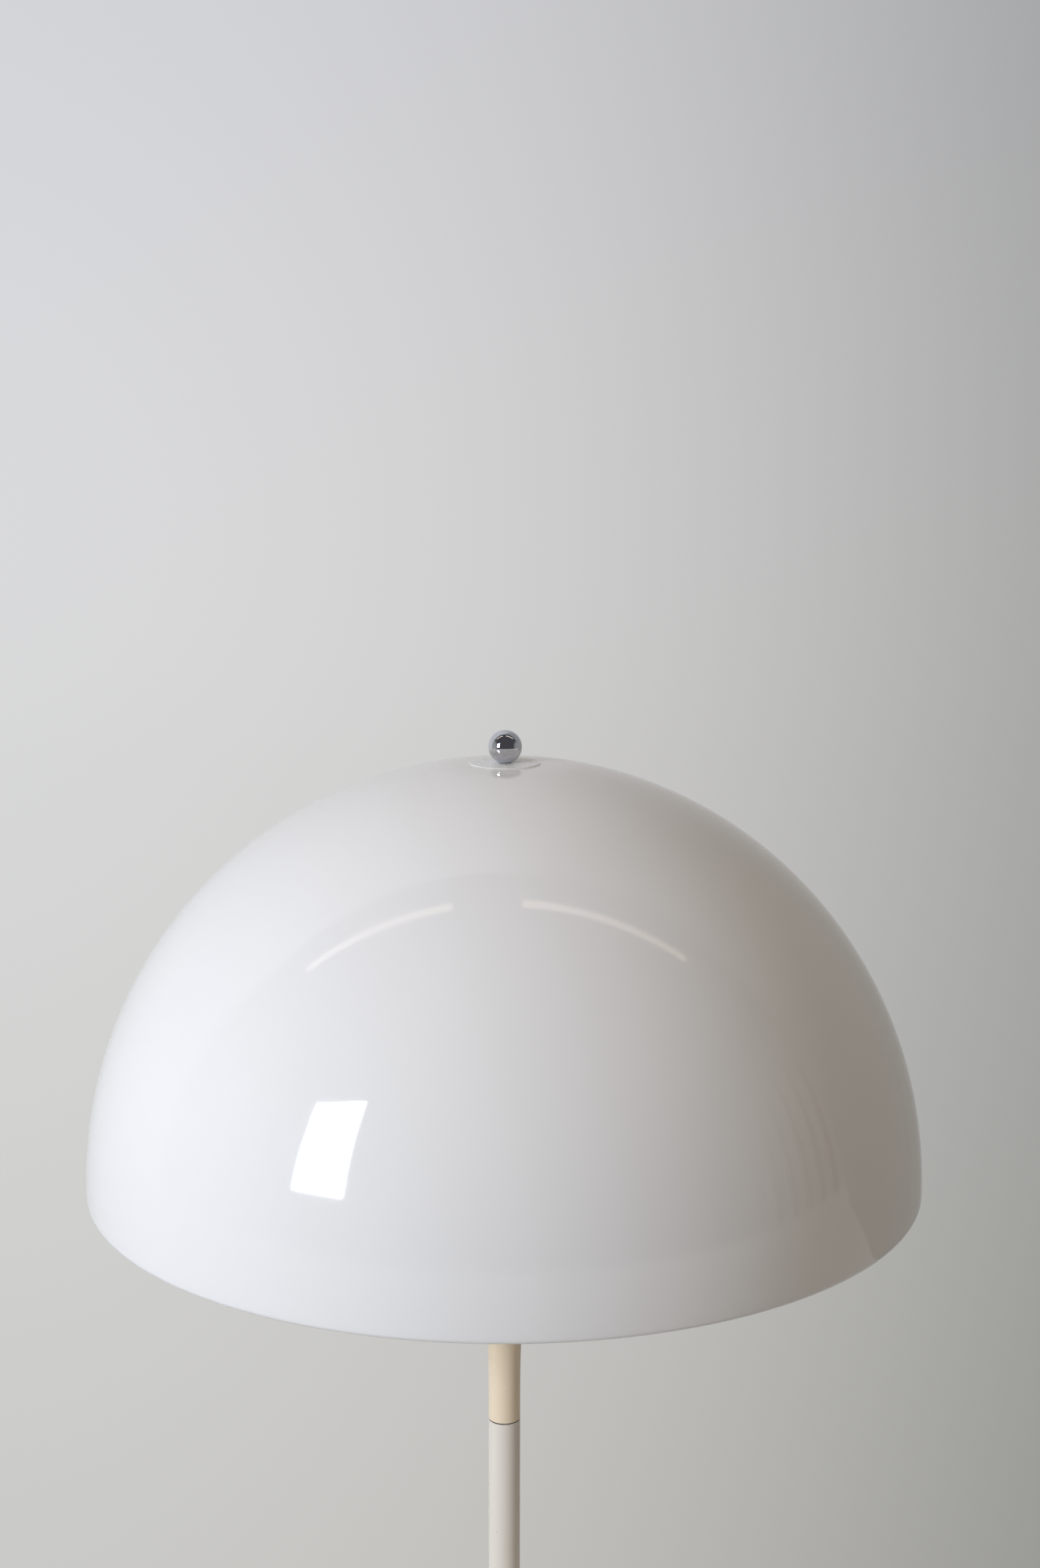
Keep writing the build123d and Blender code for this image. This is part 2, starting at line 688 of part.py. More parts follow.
os.makedirs("parts", exist_ok=True)
for name, solid in all_parts().items():
    export_step(solid, f"parts/{name}.step")
print(f"equator {EQUATOR_Z:.2f}, neck seam {NECK_SEAM_Z:.2f}, foot top {FOOT_TOP_Z:.2f}")
print(f"flare power {FLARE_POWER:.3f}, foot radius {FOOT_OUTER_RADIUS:.2f}, web top {WEB_TOP_Z:.2f}")
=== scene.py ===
# %% [markdown]
# # A mushroom floor lamp
# The lamp is a half-sphere of opal acrylic on a slim lacquered tube. Under it a cream trumpet
# throws the light back up into the dome, and the same flare, turned over, is the foot. The
# mechanical model gives every piece its place and size. This script gives them their surfaces, a
# room and a camera.

import bmesh
import bpy
import json
import math
from mathutils import Matrix, Vector


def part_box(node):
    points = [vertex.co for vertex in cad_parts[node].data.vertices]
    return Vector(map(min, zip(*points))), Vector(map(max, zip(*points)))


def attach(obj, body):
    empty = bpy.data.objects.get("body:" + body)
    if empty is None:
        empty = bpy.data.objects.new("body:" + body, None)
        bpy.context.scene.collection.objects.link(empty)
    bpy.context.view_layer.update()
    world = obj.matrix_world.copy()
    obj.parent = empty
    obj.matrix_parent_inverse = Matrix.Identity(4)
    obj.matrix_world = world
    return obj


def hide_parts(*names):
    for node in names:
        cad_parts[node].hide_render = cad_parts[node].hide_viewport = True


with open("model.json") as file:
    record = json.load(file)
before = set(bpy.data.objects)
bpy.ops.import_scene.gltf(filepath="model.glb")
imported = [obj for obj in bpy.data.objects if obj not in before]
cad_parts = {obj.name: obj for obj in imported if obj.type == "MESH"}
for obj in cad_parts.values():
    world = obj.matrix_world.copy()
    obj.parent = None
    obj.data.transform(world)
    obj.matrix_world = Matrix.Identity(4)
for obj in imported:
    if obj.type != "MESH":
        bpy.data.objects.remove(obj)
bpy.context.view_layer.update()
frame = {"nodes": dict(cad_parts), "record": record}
nodes = frame["nodes"]
slot_of = {part["node"]: part["material_slot"] for part in frame["record"]["subparts"]}
bodies = frame["record"]["behaviour"]["bodies"]
body_of = {node: body for body, members in bodies.items() for node in members}

# %% [markdown]
# ## Heights to work from
# The dome is widest at its equator, 3 mm above its lower edge, so the model's own boxes give every
# height that the rest of the script needs. Blender works in metres, and MM keeps the numbers
# readable.

# %% Heights
MM = 0.001
DOME_WALL = 3
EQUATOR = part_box("shade")[0].z + DOME_WALL * MM
NECK_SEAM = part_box("reflector_trumpet")[0].z
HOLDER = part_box("holder_cap")[0].z
BALL_RADIUS = 10
BALL_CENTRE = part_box("finial_ball")[1].z - BALL_RADIUS * MM
print(f"equator at {EQUATOR:.4f} m, neck seam at {NECK_SEAM:.4f} m, ball at {BALL_CENTRE:.4f} m")

# %% [markdown]
# ## The camera
# The photograph was taken at about standing eye height, a good metre from the lamp, looking ten
# degrees down, so the dome shows its crown and hides the trumpet's mouth. A 50 mm lens on a 36 mm
# frame, with the long side upright, gives the same perspective.

# %% Camera
CAMERA_PLACE = Vector((8.8 * MM, -1274.1 * MM, EQUATOR + 464.4 * MM))
CAMERA_PITCH = 0.1775  # radians below the horizon
CAMERA_ROLL = 0.0023  # radians
FRAME_LENGTH = 36.0  # millimetres, as the lens
LENS_LENGTH = 50.42

camera_data = bpy.data.cameras.new("camera")
camera_data.sensor_width = FRAME_LENGTH
camera_data.lens = LENS_LENGTH
camera = bpy.data.objects.new("camera", camera_data)
turn = Matrix.Rotation(math.pi / 2 - CAMERA_PITCH, 4, "X") @ Matrix.Rotation(CAMERA_ROLL, 4, "Z")
camera.matrix_world = Matrix.Translation(CAMERA_PLACE) @ turn
bpy.context.scene.collection.objects.link(camera)
bpy.context.scene.camera = camera
bpy.context.scene.view_settings.view_transform = "Standard"
print(f"camera {-CAMERA_PLACE.y:.2f} m before the lamp, {CAMERA_PLACE.z:.2f} m above the floor")

# %% [markdown]
# ## Small tools for node trees
# Shader trees and geometry trees are built the same way: a node is added, its settings are chosen,
# and its inputs get either a number or a link. One function does that for every kind of node.
# Colours are written as hex codes, as a paint chart gives them, and turned into the linear values
# that light needs.

# %% Node and colour tools
def out(node):
    """The first output that a node offers with its settings."""
    return next(socket for socket in node.outputs if socket.enabled)


def add(tree, kind, *values, **settings):
    """Add a node, set its properties, and fill its inputs in order with values or links."""
    made = tree.nodes.new(kind)
    for name, value in settings.items():
        setattr(made, name, value)
    for socket, value in zip([s for s in made.inputs if s.enabled], values):
        if isinstance(value, bpy.types.Node):
            value = out(value)
        if isinstance(value, bpy.types.NodeSocket):
            tree.links.new(value, socket)
        elif value is not None:
            socket.default_value = value
    return made


def linear(code):
    """Linear RGBA of an sRGB hex code."""
    levels = [int(code[i:i + 2], 16) / 255 for i in (1, 3, 5)]
    return [v / 12.92 if v <= 0.04045 else ((v + 0.055) / 1.055) ** 2.4 for v in levels] + [1.0]


def material(name, color, **values):
    """A material with one Principled shader; values are its sockets, with _ for a space."""
    made = bpy.data.materials.new(name)
    made.use_nodes = True
    shader = made.node_tree.nodes["Principled BSDF"]
    shader.inputs["Base Color"].default_value = linear(color)
    for socket, value in values.items():
        shader.inputs[socket.replace("_", " ")].default_value = value
    return made, made.node_tree, shader


# %% [markdown]
# ## The room
# The lamp stands before a pale wall. The wall and the floor keep to one plain finish. Seen by the
# camera or in a mirror finish the wall shows a colour with the window's light painted in: lighter
# on the left, where the window is, darker to the right, and a little darker towards the floor and
# the ceiling. So no lamp has to be turned up to make it pale. The floor mixes its colour with the
# light and shadow that fall on it. Neither has a back, so that the lamp can also be looked at from
# behind and from below. For the same reason the floor has a round opening, just under the foot,
# which hides it.

# %% Tools for the stage
def seen_directly(tree):
    """1 for camera, glossy and transmission rays, 0 for the rays that carry soft light."""
    path = add(tree, "ShaderNodeLightPath")
    first = add(tree, "ShaderNodeMath", path.outputs["Is Camera Ray"],
                path.outputs["Is Glossy Ray"], operation="MAXIMUM")
    return add(tree, "ShaderNodeMath", first, path.outputs["Is Transmission Ray"],
               operation="MAXIMUM")


def one_sided(tree, front):
    """Show a shader on the front of a plane only."""
    facing = add(tree, "ShaderNodeNewGeometry").outputs["Backfacing"]
    back = add(tree, "ShaderNodeBsdfTransparent")
    whole = add(tree, "ShaderNodeMixShader", facing, front, back)
    tree.links.new(out(whole), tree.nodes["Material Output"].inputs["Surface"])


def stage_piece(name, corners, faces, finish):
    """A flat piece of the stage from its corners."""
    mesh = bpy.data.meshes.new(name)
    mesh.from_pydata(corners, [], faces)
    mesh.materials.append(finish)
    made = bpy.data.objects.new(name, mesh)
    bpy.context.scene.collection.objects.link(made)
    print(f"{name} in {finish.name}, number of faces: {len(faces)}")


# %% Wall
WALL_Y = 1.0
WALL_REACH = 6
WALL_HEIGHT = 6
# Painted light: the window's light on the wall, strongest on the left and fading to the right.
WALL_LIGHT_TONES = ((0.0, "#DBDCDE"), (0.5, "#DBDADA"), (1.0, "#8D8E8C"))
WALL_SPAN = 1.5  # width over which the tones change
# Painted light: the wall a little darker and warmer near the floor, and a little darker near the
# ceiling.
HEIGHT_LIGHT_TONES = ((0.0, "#E5E4DF"), (0.55, "#FFFFFE"), (0.8, "#FDFDFF"), (1.0, "#F4F5F9"))
HEIGHT_START, HEIGHT_END = 0.1, 1.95  # heights between which these tones lie


def soft_ramp(tree, position, tones):
    """A ramp without edges through tones at places from 0 to 1."""
    made = add(tree, "ShaderNodeValToRGB", position)
    made.color_ramp.interpolation = "B_SPLINE"
    for step, (place, tone) in enumerate(tones):
        stops = made.color_ramp.elements  # a new ramp has two stops
        stop = stops[step] if step < 2 else stops.new(place)
        stop.position = place
        stop.color = linear(tone)
    return made


def painted_window_light(tree):
    """Painted light: the window's light, fading from left to right and a little towards floor and
    ceiling.
    """
    place = add(tree, "ShaderNodeTexCoord").outputs["Object"]
    axes = add(tree, "ShaderNodeSeparateXYZ", place).outputs
    along = add(tree, "ShaderNodeMath", axes["X"], 1 / WALL_SPAN, 0.5, operation="MULTIPLY_ADD")
    height = add(tree, "ShaderNodeMapRange", axes["Z"], HEIGHT_START, HEIGHT_END)
    across = soft_ramp(tree, along, WALL_LIGHT_TONES)
    upwards = soft_ramp(tree, height, HEIGHT_LIGHT_TONES)
    return add(tree, "ShaderNodeVectorMath", across, upwards, operation="MULTIPLY")


wall_paint_and_painted_light, tree, shader = material("matte_wall_paint", "#C4C4C4", Roughness=0.9)
# What the camera and mirror finishes see of the wall is this glow, with the window's light painted
# in.
wall_glow_with_painted_light = add(tree, "ShaderNodeEmission", painted_window_light(tree), 1.0)
one_sided(tree, add(tree, "ShaderNodeMixShader", seen_directly(tree), shader, wall_glow_with_painted_light))
wall_corners = [(-WALL_REACH, WALL_Y, 0), (WALL_REACH, WALL_Y, 0),
                (WALL_REACH, WALL_Y, WALL_HEIGHT), (-WALL_REACH, WALL_Y, WALL_HEIGHT)]
stage_piece("wall", wall_corners, [(0, 1, 2, 3)], wall_paint_and_painted_light)

# %% Floor
FLOOR_REACH = 9
FLOOR_OPENING = 0.128
FLOOR_STEPS = 64
FLOOR_PAINT_SHARE = 0.65  # plain colour; the rest is the light and shadow on it

floor_paint, tree, shader = material("matte_floor_paint", "#CCCCCA", Roughness=0.8)
pale = add(tree, "ShaderNodeEmission", linear("#DCDCDA"), 1.0)
share = add(tree, "ShaderNodeMath", seen_directly(tree), FLOOR_PAINT_SHARE, operation="MULTIPLY")
one_sided(tree, add(tree, "ShaderNodeMixShader", share, shader, pale))
turns = [2 * math.pi * step / FLOOR_STEPS for step in range(FLOOR_STEPS)]
rims = [(reach * math.cos(t), reach * math.sin(t), 0)
        for reach in (FLOOR_OPENING, FLOOR_REACH) for t in turns]
strips = []
for step in range(FLOOR_STEPS):
    following = (step + 1) % FLOOR_STEPS
    strips.append((step, step + FLOOR_STEPS, following + FLOOR_STEPS, following))
stage_piece("floor", rims, strips, floor_paint)

# %% [markdown]
# ## The light
# Daylight comes through a window on the left, behind the camera, and two thin tube lamps run along
# the ceiling. All three show in the gloss of the dome: the window as a bright leaning square, the
# tubes as two thin curved lines. Each lamp is a plain area lamp whose power follows from the
# brightness it shows.

# %% Lamps
def area_lamp(name, place, aim, size, brightness, color):
    """An area lamp at a place, facing a point, whose face shows the given brightness."""
    data = bpy.data.lights.new(name, "AREA")
    data.shape = "RECTANGLE"
    data.size, data.size_y = size
    data.energy = brightness * math.pi * size[0] * size[1]
    data.color = linear(color)[:3]
    made = bpy.data.objects.new(name, data)
    made.location = place
    made.rotation_euler = (Vector(aim) - Vector(place)).to_track_quat("-Z", "Y").to_euler()
    made.visible_camera = False
    bpy.context.scene.collection.objects.link(made)
    print(f"{name}: {data.energy:.1f} W")


WINDOW_PLACE = (-2.21, -2.0, EQUATOR + 1.0)
WINDOW_AIM = (WINDOW_PLACE[0] + 0.4, 0, WINDOW_PLACE[2])
WINDOW_SIZE = (0.93, 1.24)
WINDOW_BRIGHTNESS = 22.8
TUBE_SPANS = {"left": (-1.484, -0.297), "right": (0.10, 1.285)}
TUBE_Y = -0.09
TUBE_HEIGHT = 2.6
TUBE_WIDTH = 0.062
TUBE_BRIGHTNESS = 2.6

area_lamp("window", WINDOW_PLACE, WINDOW_AIM, WINDOW_SIZE, WINDOW_BRIGHTNESS, "#ECF5FF")
for name, (start, end) in TUBE_SPANS.items():
    middle, size = (start + end) / 2, (end - start, TUBE_WIDTH)
    place, below = (middle, TUBE_Y, TUBE_HEIGHT), (middle, TUBE_Y, 0)
    area_lamp(f"ceiling_tube_{name}", place, below, size, TUBE_BRIGHTNESS, "#FFEBDA")

# %% [markdown]
# The rest of the room is a soft, slightly warm light that is stronger from above and fades towards
# the right, away from the window. Steeply from below comes a grey light of its own, so that the
# underside can be looked at too. All of it is worked out from the direction of a ray, whose three
# parts go from -1 to 1.

# %% Soft light of the room
UPPER_LIGHT = (-0.3, 0.3)  # how far up a ray points where the upper light takes over
UNDERSIDE_LIGHT = (-0.4, -0.5)

world = bpy.data.worlds.new("room")
bpy.context.scene.world = world
world.use_nodes = True
room = world.node_tree
way = add(room, "ShaderNodeTexCoord").outputs["Generated"]
way = add(room, "ShaderNodeSeparateXYZ", way).outputs
above = add(room, "ShaderNodeMapRange", way["Z"], *UPPER_LIGHT, interpolation_type="SMOOTHSTEP")
right = add(room, "ShaderNodeMapRange", way["X"], 0.0, 1.0)
upper = add(room, "ShaderNodeMix", right, linear("#B3A999"), linear("#796F62"), data_type="RGBA")
soft = add(room, "ShaderNodeMix", above, linear("#4E4B48"), upper, data_type="RGBA")
below = add(room, "ShaderNodeMapRange", way["Z"], *UNDERSIDE_LIGHT)
soft = add(room, "ShaderNodeMix", below, soft, linear("#B4B4B4"), data_type="RGBA")

# %% [markdown]
# A mirror finish sees something else: a dark room, a paler wall at each side and behind, and
# shelves on the right, which a sine wave draws. The camera sees a plain grey where the stage ends.
# Light Path tells which kind of ray asks.

# %% What mirror finishes and the camera see
LEFT_WALL = (-0.95, -0.8)
RIGHT_WALL = (0.86, 0.96)
BACK_WALL = (0.5, 0.75)
SHELF_WAVES = 70.0

left_edge = add(room, "ShaderNodeMapRange", way["X"], *LEFT_WALL, 1.0, 0.0)
right_edge = add(room, "ShaderNodeMapRange", way["X"], *RIGHT_WALL)
back_edge = add(room, "ShaderNodeMapRange", way["Y"], *BACK_WALL)
pale = add(room, "ShaderNodeMath", left_edge, right_edge, operation="MAXIMUM")
pale = add(room, "ShaderNodeMath", pale, back_edge, operation="MAXIMUM")
bands = add(room, "ShaderNodeMath", way["Y"], SHELF_WAVES, operation="MULTIPLY")
bands = add(room, "ShaderNodeMath", bands, operation="SINE")
bands = add(room, "ShaderNodeMath", bands, right_edge, operation="MULTIPLY")
shelves = add(room, "ShaderNodeMix", bands, linear("#A8A8AA"), linear("#5C5C60"), data_type="RGBA")
mirrored = add(room, "ShaderNodeMix", pale, linear("#4C4C50"), shelves, data_type="RGBA")
rays = add(room, "ShaderNodeLightPath").outputs
mirror = add(room, "ShaderNodeMath", rays["Is Glossy Ray"], rays["Is Transmission Ray"],
             operation="MAXIMUM")
chosen = add(room, "ShaderNodeMix", mirror, soft, mirrored, data_type="RGBA")
behind = add(room, "ShaderNodeMix", rays["Is Camera Ray"], chosen, linear("#D4D4D4"),
             data_type="RGBA")
room.links.new(out(behind), room.nodes["Background"].inputs["Color"])
print("nodes in the room's light:", len(room.nodes))

# %% [markdown]
# ## Finishes
# Every finish starts from what the real piece is made of and how its surface was made. Nothing on a
# real lamp is one even colour: gloss changes where hands and cloths have been, mould and lathe
# leave their marks, and paint lies in fine waves. Noise in the object's own space draws all of
# that. Its scale comes from a size in millimetres. Colours and roughness are matched to the
# photograph, starting from usual values for each material.

# %% Pattern tools
NOISE_LOW, NOISE_HIGH = 0.2, 0.8  # nearly all values of a noise lie between these


def object_noise(tree, size_mm, detail=2.0, stretch=(1, 1, 1)):
    """Noise in the object's own space whose blotches are about size_mm across."""
    place = add(tree, "ShaderNodeTexCoord").outputs["Object"]
    placed = add(tree, "ShaderNodeMapping", place, None, None, stretch)
    made = add(tree, "ShaderNodeTexNoise", placed)
    made.inputs["Scale"].default_value = 1 / (size_mm * MM)
    made.inputs["Detail"].default_value = detail
    return made


def vary_roughness(tree, shader, source, low, high):
    """Let a noise move the roughness between two limits."""
    spread = add(tree, "ShaderNodeMapRange", source, NOISE_LOW, NOISE_HIGH, low, high,
                 interpolation_type="SMOOTHSTEP")
    tree.links.new(out(spread), shader.inputs["Roughness"])


def tint(tree, shader, source, first, second):
    """Let a noise move the colour between two hex colours."""
    share = add(tree, "ShaderNodeMapRange", source, NOISE_LOW, NOISE_HIGH,
                interpolation_type="SMOOTHSTEP")
    mixed = add(tree, "ShaderNodeMix", share, linear(first), linear(second), data_type="RGBA")
    tree.links.new(out(mixed), shader.inputs["Base Color"])
    return mixed


def raise_surface(tree, shader, source, depth_mm):
    """Bump from a noise, as deep as on the real surface."""
    bump = add(tree, "ShaderNodeBump")
    bump.inputs["Distance"].default_value = depth_mm * MM
    tree.links.new(out(source), bump.inputs["Height"])
    tree.links.new(out(bump), shader.inputs["Normal"])


# %% [markdown]
# ### Opal acrylic
# The dome is blown from a heated sheet of opal acrylic (PMMA). Air shapes it without a mould
# touching the outside, so its skin stays as smooth as glass and shows a sharp window. Where the
# sheet stretched a little more it is thinner, which gives slow waves and a slightly cooler white.

# %% Opal acrylic
ACRYLIC_IOR = 1.49
opal, tree, shader = material("blown_opal_acrylic", "#F1F1F6", Roughness=0.06, IOR=ACRYLIC_IOR)
tint(tree, shader, object_noise(tree, 140, 1), "#F2F2F6", "#F0F0F5")
vary_roughness(tree, shader, object_noise(tree, 60, 3), 0.045, 0.085)
raise_surface(tree, shader, object_noise(tree, 90, 1), 0.05)

# %% [markdown]
# ### Hazy clear acrylic
# The washer under the ball is cut from clear sheet that years of wiping have made slightly milky.
# It is so thin that light goes through it nearly straight. Its faces scatter a third of what they
# get, like frosted glass, and give a soft gloss. The cut rim scatters most of it and is paler. Soft
# light and shadow rays pass, so the crown under it stays lit, and rays that leave through the far
# side get no second gloss.

# %% Hazy clear acrylic
RIM_MILK, FACE_MILK = 0.8, 0.3  # shares of the light that rim and faces scatter
RIM_END, FACE_START = 0.6, 0.98  # the normal's upward part where the rim ends and a face starts
HAZE_LOW, HAZE_HIGH = 0.2, 0.3  # roughness of the soft gloss

clear = bpy.data.materials.new("hazy_clear_acrylic")
clear.use_nodes = True
tree = clear.node_tree
tree.nodes.clear()
rays = add(tree, "ShaderNodeLightPath").outputs
passing = add(tree, "ShaderNodeMath", rays["Is Shadow Ray"], rays["Is Diffuse Ray"],
              operation="MAXIMUM")
surface = add(tree, "ShaderNodeNewGeometry").outputs
inside = add(tree, "ShaderNodeMath", passing, surface["Backfacing"], operation="MAXIMUM")
seen = add(tree, "ShaderNodeMath", 1.0, inside, operation="SUBTRACT")
mirrored = add(tree, "ShaderNodeFresnel", ACRYLIC_IOR)
mirrored = add(tree, "ShaderNodeMath", mirrored, seen, operation="MULTIPLY")
haze = add(tree, "ShaderNodeMapRange", object_noise(tree, 4, 3), 0.3, 0.7, HAZE_LOW, HAZE_HIGH)
see_through = add(tree, "ShaderNodeBsdfTransparent", linear("#FFFFFF"))
gloss = add(tree, "ShaderNodeBsdfGlossy", None, haze)
face = add(tree, "ShaderNodeMixShader", mirrored, see_through, gloss)
upright = add(tree, "ShaderNodeSeparateXYZ", surface["Normal"]).outputs["Z"]
level = add(tree, "ShaderNodeMath", upright, operation="ABSOLUTE")
milky = add(tree, "ShaderNodeMapRange", level, RIM_END, FACE_START, RIM_MILK, FACE_MILK)
milky = add(tree, "ShaderNodeMath", milky, seen, operation="MULTIPLY")
milk = add(tree, "ShaderNodeBsdfDiffuse", linear("#ECECEC"), 1.0)
add(tree, "ShaderNodeOutputMaterial", add(tree, "ShaderNodeMixShader", milky, face, milk))

# %% [markdown]
# ### Metals
# The ball is polished, nickel plated and then chrome plated, which makes a dark, slightly blue
# mirror with faint finger smudges. Turned brass keeps the fine rings of the tool. Zinc plate is a
# blotched grey, dull beside chrome. The hoop is bright nickel-plated wire whose drawing die left
# lines along it, and the bulb's screw cap is thin nickel-plated brass. Turning rings are about 0.1
# mm apart; they are drawn 0.5 mm apart here, or no render would show them.

# %% Metals
chrome, tree, shader = material("polished_chrome_plate", "#D4D5D9", Metallic=1.0, Roughness=0.02)
vary_roughness(tree, shader, object_noise(tree, 7, 3), 0.012, 0.035)
tint(tree, shader, object_noise(tree, 9, 2), "#D6D7DB", "#D1D2D7")

brass, tree, shader = material("turned_brass", "#C9A05A", Metallic=1.0, Roughness=0.25)
rings = object_noise(tree, 0.5, 2, stretch=(0.04, 0.04, 1))
tint(tree, shader, object_noise(tree, 5, 3), "#CDA661", "#B98E4B")
vary_roughness(tree, shader, rings, 0.2, 0.32)
raise_surface(tree, shader, rings, 0.01)

zinc, tree, shader = material("zinc_plated_steel", "#B4B5B4", Metallic=1.0, Roughness=0.35)
tint(tree, shader, object_noise(tree, 4, 4), "#BEBEB8", "#A4A8AE")
vary_roughness(tree, shader, object_noise(tree, 2.5, 3), 0.28, 0.46)

nickel, tree, shader = material("nickel_plated_wire", "#C4C0B6", Metallic=1.0, Roughness=0.2)
tint(tree, shader, object_noise(tree, 12, 3), "#C8C4BA", "#B4AFA2")
vary_roughness(tree, shader, object_noise(tree, 0.5, 2, stretch=(1, 1, 0.04)), 0.15, 0.28)

bulb_metal, tree, shader = material("nickel_plated_bulb_cap", "#CAC8C2", Metallic=1.0,
                                    Roughness=0.25)
tint(tree, shader, object_noise(tree, 3, 3), "#CECCC6", "#B8B4AA")
vary_roughness(tree, shader, object_noise(tree, 0.5, 2, stretch=(0.04, 0.04, 1)), 0.2, 0.34)

# %% [markdown]
# ### Cream plastic
# Both trumpets are injection moulded in cream plastic (ABS), which daylight has yellowed unevenly
# over the years. The mould was polished, so the skin has a soft gloss with slow flow marks and a
# grain so fine that it only softens the highlights.

# %% Cream plastic
cream, tree, shader = material("aged_cream_plastic", "#FBE9D0", Roughness=0.22, IOR=1.5)
tint(tree, shader, object_noise(tree, 70, 3), "#FDEBD3", "#F9E6CA")
vary_roughness(tree, shader, object_noise(tree, 25, 4), 0.18, 0.28)
raise_surface(tree, shader, object_noise(tree, 1.2, 2), 0.004)

# %% [markdown]
# ### White lacquer
# The tube is steel with a sprayed and baked lacquer. Sprayed lacquer dries in fine waves, called
# orange peel, 1 to 2 mm apart, and an old lamp has a few small specks where dirt or rust shows. The
# specks are the middles of the cells of a Voronoi pattern, 12 mm across, which the tube's face cuts
# here and there.

# %% White lacquer
SPECK_SPACING = 12
SPECK_CORE, SPECK_EDGE = 0.025, 0.045  # in shares of the spacing
SPECK_STRENGTH = 0.7

lacquer, tree, shader = material("off_white_lacquer_on_steel", "#F0E9E1", Roughness=0.2, IOR=1.5)
paint = tint(tree, shader, object_noise(tree, 50, 3), "#F1EAE2", "#EEE7DE")
place = add(tree, "ShaderNodeTexCoord").outputs["Object"]
cells = add(tree, "ShaderNodeTexVoronoi", place, 1 / (SPECK_SPACING * MM))
speck = add(tree, "ShaderNodeMapRange", cells, SPECK_CORE, SPECK_EDGE, SPECK_STRENGTH, 0.0)
marked = add(tree, "ShaderNodeMix", speck, paint, linear("#7E7262"), data_type="RGBA")
tree.links.new(out(marked), shader.inputs["Base Color"])
vary_roughness(tree, shader, object_noise(tree, 18, 3), 0.17, 0.26)
raise_surface(tree, shader, object_noise(tree, 1.6, 1), 0.006)

# %% [markdown]
# ### Dark plastics, rubber and glass
# The seam rings and the gland are moulded in black polyamide with a finely etched skin. The
# lampholder is black phenolic, pressed hot, glossy and slightly brown, with cloudy flow marks. The
# washer under the crown is soft black rubber with a bloom like talc. The bulb's insulator is a drop
# of black lead glass, and its bulb is soda-lime glass with a white powder coat inside, which makes
# it a smooth even white.

# %% Dark plastics, rubber and glass
black, tree, shader = material("etched_black_polyamide", "#161616", Roughness=0.5)
tint(tree, shader, object_noise(tree, 3, 3), "#131313", "#1C1C1B")
vary_roughness(tree, shader, object_noise(tree, 1.0, 2), 0.42, 0.6)
raise_surface(tree, shader, object_noise(tree, 0.6, 2), 0.02)

phenolic, tree, shader = material("pressed_black_phenolic", "#17130F", Roughness=0.25)
tint(tree, shader, object_noise(tree, 8, 4), "#14100C", "#211A14")
vary_roughness(tree, shader, object_noise(tree, 5, 3), 0.16, 0.34)

rubber, tree, shader = material("moulded_black_rubber", "#1C1C1C", Roughness=0.8)
tint(tree, shader, object_noise(tree, 4, 4), "#181818", "#2A2A29")
vary_roughness(tree, shader, object_noise(tree, 2, 2), 0.7, 0.9)
raise_surface(tree, shader, object_noise(tree, 0.8, 2), 0.03)

dark_glass, tree, shader = material("black_lead_glass", "#0C0C0E", Roughness=0.1, IOR=1.55)
tint(tree, shader, object_noise(tree, 3, 2), "#0A0A0C", "#15151A")
raise_surface(tree, shader, object_noise(tree, 3, 1), 0.05)

bulb_white, tree, shader = material("white_coated_bulb_glass", "#F4F2EC", Roughness=0.15, IOR=1.5)
tint(tree, shader, object_noise(tree, 20, 2), "#F5F3EE", "#F1EEE6")
vary_roughness(tree, shader, object_noise(tree, 15, 2), 0.1, 0.2)

# %% [markdown]
# ### Porcelain, iron, paint and felt
# The holder's core is dry-pressed porcelain with a thin glaze. The weight in the foot is cast in
# sand, so its skin is grainy under a dull black paint. The plate under it is powder coated, with a
# closer, softer grain. Wool felt keeps the plate off the floor: short fibres lie in all directions
# and catch the light.

# %% Porcelain, iron, paint and felt
porcelain, tree, shader = material("glazed_porcelain", "#F2EEE6", Roughness=0.12)
tint(tree, shader, object_noise(tree, 5, 3), "#F3F0E9", "#E9E3D8")
vary_roughness(tree, shader, object_noise(tree, 3, 3), 0.07, 0.2)

iron, tree, shader = material("black_painted_sand_casting", "#2B2B2B", Roughness=0.7)
tint(tree, shader, object_noise(tree, 9, 5), "#242424", "#363534")
vary_roughness(tree, shader, object_noise(tree, 4, 3), 0.6, 0.82)
raise_surface(tree, shader, object_noise(tree, 1.5, 4), 0.3)

plate_paint, tree, shader = material("black_powder_coat", "#171717", Roughness=0.45)
tint(tree, shader, object_noise(tree, 14, 3), "#151515", "#1E1E1E")
vary_roughness(tree, shader, object_noise(tree, 6, 2), 0.38, 0.52)
raise_surface(tree, shader, object_noise(tree, 0.9, 1), 0.05)

felt, tree, shader = material("grey_wool_felt", "#333333", Roughness=1.0)
shader.inputs["Sheen Weight"].default_value = 0.25
fibres = object_noise(tree, 0.7, 6, stretch=(1, 0.35, 1))
tint(tree, shader, fibres, "#242425", "#484745")
raise_surface(tree, shader, fibres, 0.35)

# %% Finish of each slot
FINISHES = {
    "opal_acrylic": opal, "clear_acrylic": clear, "chrome_plate": chrome, "brass": brass,
    "zinc_steel": zinc, "nickel_wire": nickel, "black_rubber": rubber, "cream_plastic": cream,
    "black_plastic": black, "black_phenolic": phenolic, "porcelain": porcelain,
    "opal_glass": bulb_white, "dark_glass": dark_glass, "bulb_cap_metal": bulb_metal,
    "white_lacquer": lacquer, "iron_casting": iron, "plate_paint": plate_paint, "felt": felt,
}
for finish in FINISHES.values():
    print(f"{finish.name}: {len(finish.node_tree.nodes)} nodes")

